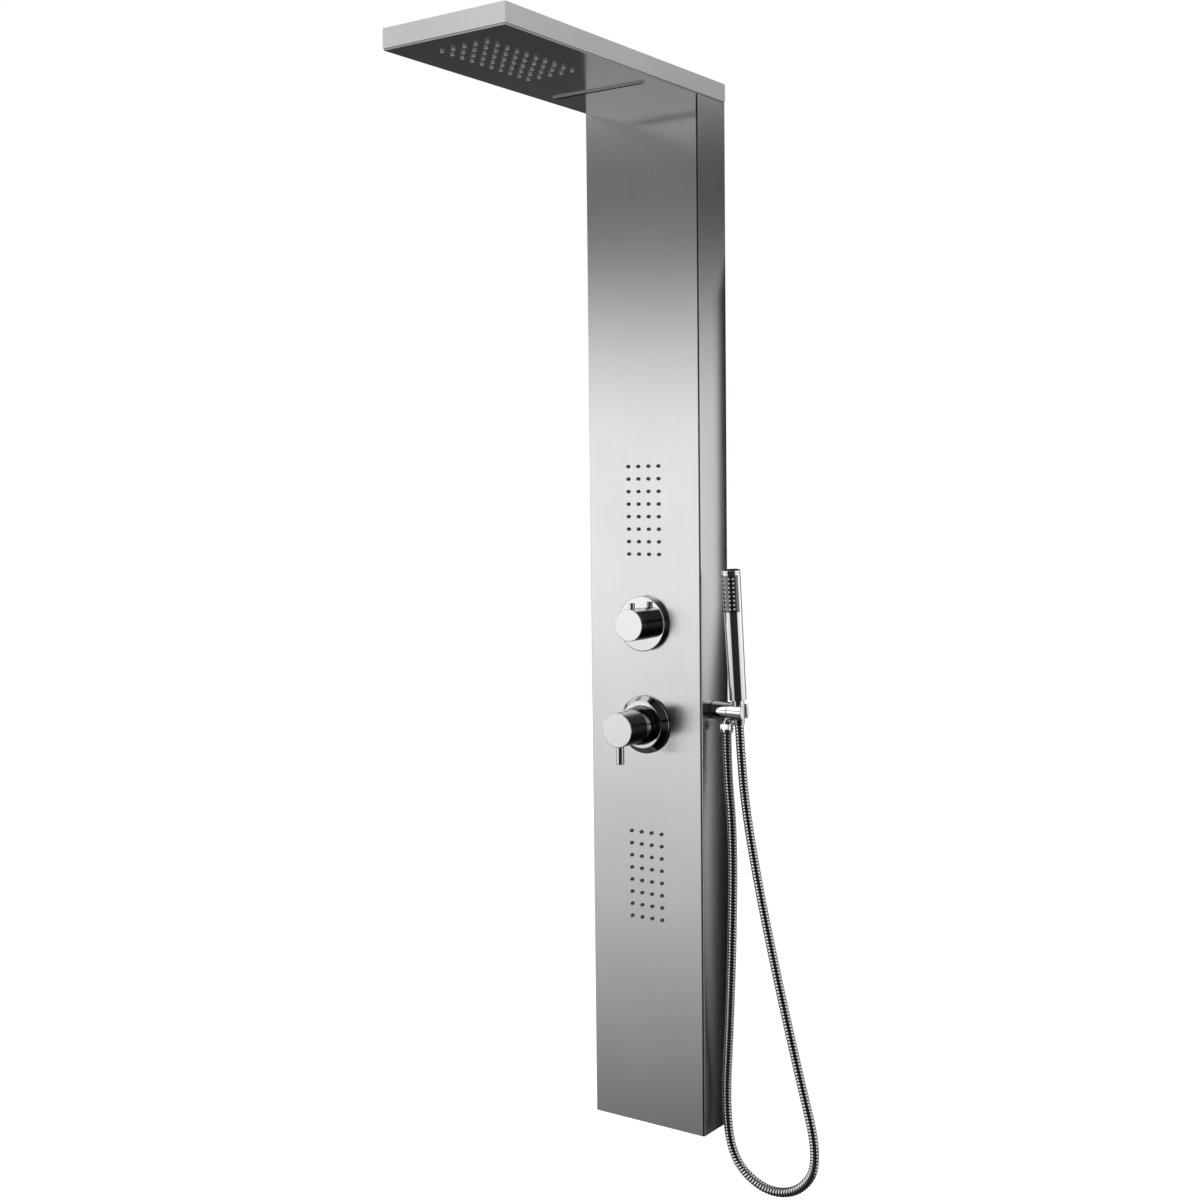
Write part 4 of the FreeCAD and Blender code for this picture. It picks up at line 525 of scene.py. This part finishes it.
# A curved panel on the grip: a grid over angle and height. Its lift is the top's, less edge times the square
# of (1 - distance to the rim / edge) within one edge of the rim. A skirt round the rim and a floor below
# close it.
def curvedPanel(name, halfAngle, low, high, bottomLift, topLift, edge):
    u, v = np.meshgrid(np.linspace(-1, 1, 41), np.linspace(-1, 1, 33), indexing="ij")
    a = np.radians(halfAngle) * u
    s = (low + high) / 2 + (high - low) / 2 * v
    toRim = np.minimum((1 - abs(u)) * np.radians(halfAngle) * h["bodyHigh"], (1 - abs(v)) * (high - low) / 2)
    top = gripPoints(a, s, topLift - edge * np.clip(1 - toRim / edge, 0, 1) ** 2)
    under = gripPoints(a, s, np.full_like(a, bottomLift))
    rims = np.stack([np.concatenate([face[:-1, 0], face[-1, :-1], face[:0:-1, -1], face[0, :0:-1]])
                     for face in (top, under)])
    parts = [meshFromGrid(name, top, closeRound=False), meshFromGrid(name + "Skirt", rims, sharpAngle=30),
             meshFromGrid(name + "Floor", under, closeRound=False)]
    return pieceFrom(name, [part.data for part in parts])


plate = curvedPanel("sprayPlate", h["sprayAngle"] / 2, h["sprayLow"], h["sprayHigh"], h["plateFoot"],
                    h["proud"], h["plateEdge"])
fit(plate, "hand_shower", satinPlate, "grey_spray_plastic", "handset_nozzle_plate")


# A field of small turned studs, all in one mesh. A stud's point is its place, plus its height along its
# direction, plus its radius at angle t round that direction.
def studField(name, places, directions, stud, steps=14):
    t = np.linspace(0, 2 * np.pi, steps, endpoint=False)
    directions = directions / np.linalg.norm(directions, axis=1)[:, None]
    side = np.cross(directions, np.array((0.3, 0.3, 1.3)))
    side /= np.linalg.norm(side, axis=1)[:, None]
    other = np.cross(directions, side)
    ring = np.cos(t)[None, :, None] * side[:, None] + np.sin(t)[None, :, None] * other[:, None]
    grid = (places[:, None, None] + stud[None, :, 1][..., None, None] * directions[:, None, None]
            + stud[None, :, 0][..., None, None] * ring[:, None])
    firstPoints = np.arange(len(places)) * len(stud) * steps
    faces = gridFaces(len(stud), steps)[None] + firstPoints[:, None, None, None]
    return pieceFrom(name, [roughMesh(grid, faces)], sharpAngle=40)


columnAngles = np.radians((np.arange(h["columns"]) - (h["columns"] - 1) / 2) * h["columnStep"])
rowPlaces = (h["sprayLow"] + h["sprayHigh"]) / 2 + (np.arange(h["rows"]) - (h["rows"] - 1) / 2) * h["rowStep"]
a, s = [part.ravel() for part in np.meshgrid(columnAngles, rowPlaces)]
places = gripPoints(a, s, np.zeros_like(a))
outward = gripPoints(a, s, np.ones_like(a)) - places
# A domed tip with a jet's mouth in it.
profile = softened([(0, h["tipRoot"], 0), (h["tipRadius"], h["tipRoot"], 0),
                    (h["tipRadius"], h["tipProud"], h["tipEdge"]), (h["jetRadius"], h["tipProud"], 0.1),
                    (h["jetRadius"] - 0.1, h["jetFloor"], 0), (0, h["jetFloor"], 0)], steps=4)
fit(studField("sprayTips", places, outward, profile), "hand_shower", whiteSilicone, "grey_spray_plastic")
# Each tip stands in a sunk ring coloured dark: painted shade round its foot.
rimTop, ringFloor = h["proud"] + h["holeRim"], h["proud"] + h["holeFloor"]
profile = softened([(0, h["holeRoot"], 0), (h["holeRadius"], h["holeRoot"], 0),
                    (h["holeRadius"], rimTop, 0.1), (h["tipRadius"] - 0.1, ringFloor, 0),
                    (0, ringFloor, 0)], steps=3)
fit(studField("tipShadeRings", places, outward, profile), "hand_shower", darkSiliconeAndPaintedShade, "grey_spray_plastic")
print("hand shower made")


hose = {"radius": 6.75, "groove": 0.85, "pitch": 4.45, "ringsPerTurn": 10, "segments": 24, "length": 1.415,
        "routeSteps": 40, "pathStep": 20,
        "route": [(116.5, -39, -738.75), (116.5, -39, -790.5), (125.5, -39, -882), (124, -39, -1018),
                  (118.3, -39, -1160), (110.5, -39, -1287), (122.7, -39, -1363.4), (177.1, -39, -1397.6),
                  (232.8, -39, -1384.1), (262.6, -39, -1333.1), (229, -39, -1211), (194, -39, -1074),
                  (164, -38, -946), (143.5, -36, -841), (135.5, -33.83, -762.1), (135.5, -37.18, -727.26)]}
curve = bpy.data.curves.new("hoseRoute", "CURVE")
curve.dimensions = "3D"
line = curve.splines.new("NURBS")
line.points.add(len(hose["route"]) - 1)
for point, spot in zip(line.points, hose["route"]):
    point.co = [v * millimetre for v in spot] + [1.0]
line.order_u = 3
line.use_endpoint_u = True
line.resolution_u = hose["routeSteps"]
routeObject = bpy.data.objects.new("hoseRoute", curve)
bpy.context.scene.collection.objects.link(routeObject)
bpy.context.view_layer.update()
routeMesh = bpy.data.meshes.new_from_object(routeObject)
middleLine = np.array([v.co for v in routeMesh.vertices]) * 1000
bpy.data.objects.remove(routeObject)


# The wound strip: at distance s and angle t, u grows by 1 along each turn of the strip. The radius is the
# crest's, less the groove's depth times the square of sin(pi u), so the seam is where u is halfway between
# two whole numbers.
def woundHose(name, path):
    travelled = np.concatenate([[0], np.cumsum(np.linalg.norm(np.diff(path, axis=0), axis=1))])
    total = travelled[-1]
    s = np.linspace(0, total, int(total / hose["pitch"] * hose["ringsPerTurn"]))
    centre = np.stack([np.interp(s, travelled, path[:, k]) for k in range(3)], axis=1)
    heading = np.gradient(centre, s, axis=0)
    heading /= np.linalg.norm(heading, axis=1)[:, None]
    side = np.array(towardsRoom, float) - heading * (-heading[:, 1])[:, None]
    side /= np.linalg.norm(side, axis=1)[:, None]
    other = np.cross(heading, side)
    t = np.linspace(0, 2 * np.pi, hose["segments"], endpoint=False)
    u = s[:, None] / hose["pitch"] + t[None] / (2 * np.pi)
    radius = hose["radius"] - hose["groove"] * np.sin(np.pi * u) ** 2
    ring = np.cos(t)[None, :, None] * side[:, None] + np.sin(t)[None, :, None] * other[:, None]
    grid = centre[:, None] + radius[..., None] * ring
    ends = [np.broadcast_to(centre[k], (1,) + grid.shape[1:]) for k in (0, -1)]
    return meshFromGrid(name, np.concatenate([ends[0], grid, ends[1]]), sharpAngle=60), centre


hosePiece, hoseCentre = woundHose("hoseWinding", middleLine)
hosePiece.data.materials.append(hoseSteel)
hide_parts("hose")
# The bend lies just below the cone nut: the other limb, 19 mm to the left, has to stay with the outlet.
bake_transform(hosePiece)
print("hose made,", len(hosePiece.data.polygons), "faces")


# The camera stands to the right of the panel at mid height. Angles are in radians, as found from the picture.
shot = {"place": (1.2988, -2.03393, -0.39222), "yaw": 0.6122, "pitch": 0.0674, "roll": -0.0110, "lens": 49.09,
        "sensor": 36, "clipEnd": 50}
forward = Vector((-math.sin(shot["yaw"]) * math.cos(shot["pitch"]),
                  math.cos(shot["yaw"]) * math.cos(shot["pitch"]), -math.sin(shot["pitch"])))
right = Vector((math.cos(shot["yaw"]), math.sin(shot["yaw"]), 0))
above = right.cross(forward)
rightTurned = math.cos(shot["roll"]) * right + math.sin(shot["roll"]) * above
aboveTurned = -math.sin(shot["roll"]) * right + math.cos(shot["roll"]) * above
cameraData = bpy.data.cameras.new("camera")
cameraData.lens = shot["lens"]
cameraData.sensor_width = shot["sensor"]
cameraData.clip_end = shot["clipEnd"]
camera = bpy.data.objects.new("camera", cameraData)
turned = Matrix((rightTurned, aboveTurned, -forward)).transposed().to_4x4()
camera.matrix_world = Matrix.Translation(shot["place"]) @ turned
bpy.context.scene.collection.objects.link(camera)
bpy.context.scene.camera = camera

# The floor is a wide white disc that glows a little. It lights the panel from below but isn't mirrored in it.
floorPlan = {"radius": 9000, "level": -1900, "colour": "#F4F4F4", "glow": 0.75}
t = np.linspace(0, 2 * np.pi, 64, endpoint=False)
rim = np.stack([np.cos(t), np.sin(t), 0 * t], axis=1) * floorPlan["radius"] + (0, 0, floorPlan["level"])
floor = meshFromGrid("floor", np.stack([np.broadcast_to((0.0, 0.0, floorPlan["level"]), rim.shape), rim]))
paleFloor, tree = newMaterial("paleFloor")
endWithSurface(tree, {"Base Color": linear(floorPlan["colour"]), "Roughness": 0.9,
                      "Emission Color": linear("#FFFFFF"), "Emission Strength": floorPlan["glow"]})
floor.data.materials.append(paleFloor)
floor.visible_glossy = False

# A black card stands just behind the column's right side, hidden from the camera: the brushed side darkens
# towards it. It reaches from X = near to each (height, X) of its edge.
card = {"near": 97, "back": 15, "edges": [(-30, 98), (-120, 117), (-560, 119), (-720, 137), (-1400, 142)]}
cardGrid = np.array([[(card["near"], card["back"], height), (edge, card["back"], height)]
                     for height, edge in card["edges"]], float)
cardPiece = meshFromGrid("blackCard", cardGrid, closeRound=False)
blackCloth, tree = newMaterial("blackCloth")
endWithSurface(tree, {"Base Color": linear("#050505"), "Roughness": 0.95})
cardPiece.data.materials.append(blackCloth)
cardPiece.visible_camera = False
cardPiece.visible_shadow = False

# A white tent with two openings: one in front, round the camera, and one behind the panel. Between them the
# light is strongest at the panel's middle and falls off above and below. A band is (dome height, brightness).
studio = {"cameraSide": (0.573, -0.8195, 0), "strength": 1.95, "frontEdge": (0.58, 0.74), "frontLevel": 0.03,
          "backEdge": (-0.68, -0.42), "backLevel": 0.11,
          "rightSide": (0.80, 0.60, 0), "rightEdge": (0.1, 0.6), "rightLevel": 0.77,
          "bands": [(-1.0, 0.05), (-0.45, 0.07), (-0.357, 0.14), (-0.33, 0.22), (-0.275, 0.35),
                    (-0.218, 0.475), (-0.158, 0.57), (-0.096, 0.68), (-0.033, 0.755), (0.03, 0.75),
                    (0.063, 0.68), (0.094, 0.48), (0.125, 0.2), (0.156, 0.07), (0.187, 0.04),
                    (0.216, 0.12), (0.27, 0.63), (0.5, 0.7), (1.0, 0.4)]}
world = bpy.data.worlds.new("studio")
world.use_nodes = True
bpy.context.scene.world = world
tree = world.node_tree
tree.nodes.clear()
direction = addNode(tree, "ShaderNodeTexCoord").outputs["Generated"]
split = addNode(tree, "ShaderNodeSeparateXYZ", {"Vector": direction})
level = addNode(tree, "ShaderNodeCombineXYZ", {"X": split.outputs["X"], "Y": split.outputs["Y"]})
unit = addNode(tree, "ShaderNodeVectorMath", {0: level.outputs[0]}, operation="NORMALIZE").outputs[0]
facing, beside = [addNode(tree, "ShaderNodeVectorMath", {0: unit, 1: studio[way]},
                          operation="DOT_PRODUCT").outputs["Value"] for way in ("cameraSide", "rightSide")]
front = mapRange(tree, facing, studio["frontEdge"], (1.0, studio["frontLevel"]), "SMOOTHSTEP")
back = mapRange(tree, facing, studio["backEdge"], (studio["backLevel"], 1.0), "SMOOTHSTEP")
rightShare = mapRange(tree, beside, studio["rightEdge"], (1.0, studio["rightLevel"]), "SMOOTHSTEP")
bands = addNode(tree, "ShaderNodeValToRGB", {"Fac": mapRange(tree, split.outputs["Z"], (-1.0, 1.0))})
stops = bands.color_ramp.elements
while len(stops) < len(studio["bands"]):
    stops.new(0.5)
for stop, (height, brightness) in zip(stops, studio["bands"]):
    stop.position = (height + 1) / 2
    stop.color = (brightness, brightness, brightness, 1)
openings = addNode(tree, "ShaderNodeMath", {0: front, 1: back}, operation="MULTIPLY")
sides = addNode(tree, "ShaderNodeMath", {0: openings.outputs[0], 1: rightShare}, operation="MULTIPLY")
dome = addNode(tree, "ShaderNodeVectorMath", {0: bands.outputs["Color"], "Scale": sides.outputs[0]},
               operation="SCALE")
tent = addNode(tree, "ShaderNodeBackground", {"Color": dome.outputs[0], "Strength": studio["strength"]})
# The camera itself sees plain white behind the panel.
white = addNode(tree, "ShaderNodeBackground", {"Color": (1, 1, 1, 1), "Strength": 1.0})
seen = addNode(tree, "ShaderNodeLightPath").outputs["Is Camera Ray"]
mixed = addNode(tree, "ShaderNodeMixShader", {0: seen, 1: tent.outputs[0], 2: white.outputs[0]})
addNode(tree, "ShaderNodeOutputWorld", {"Surface": mixed.outputs[0]})
bpy.context.scene.view_settings.view_transform = "Standard"
print("studio made")
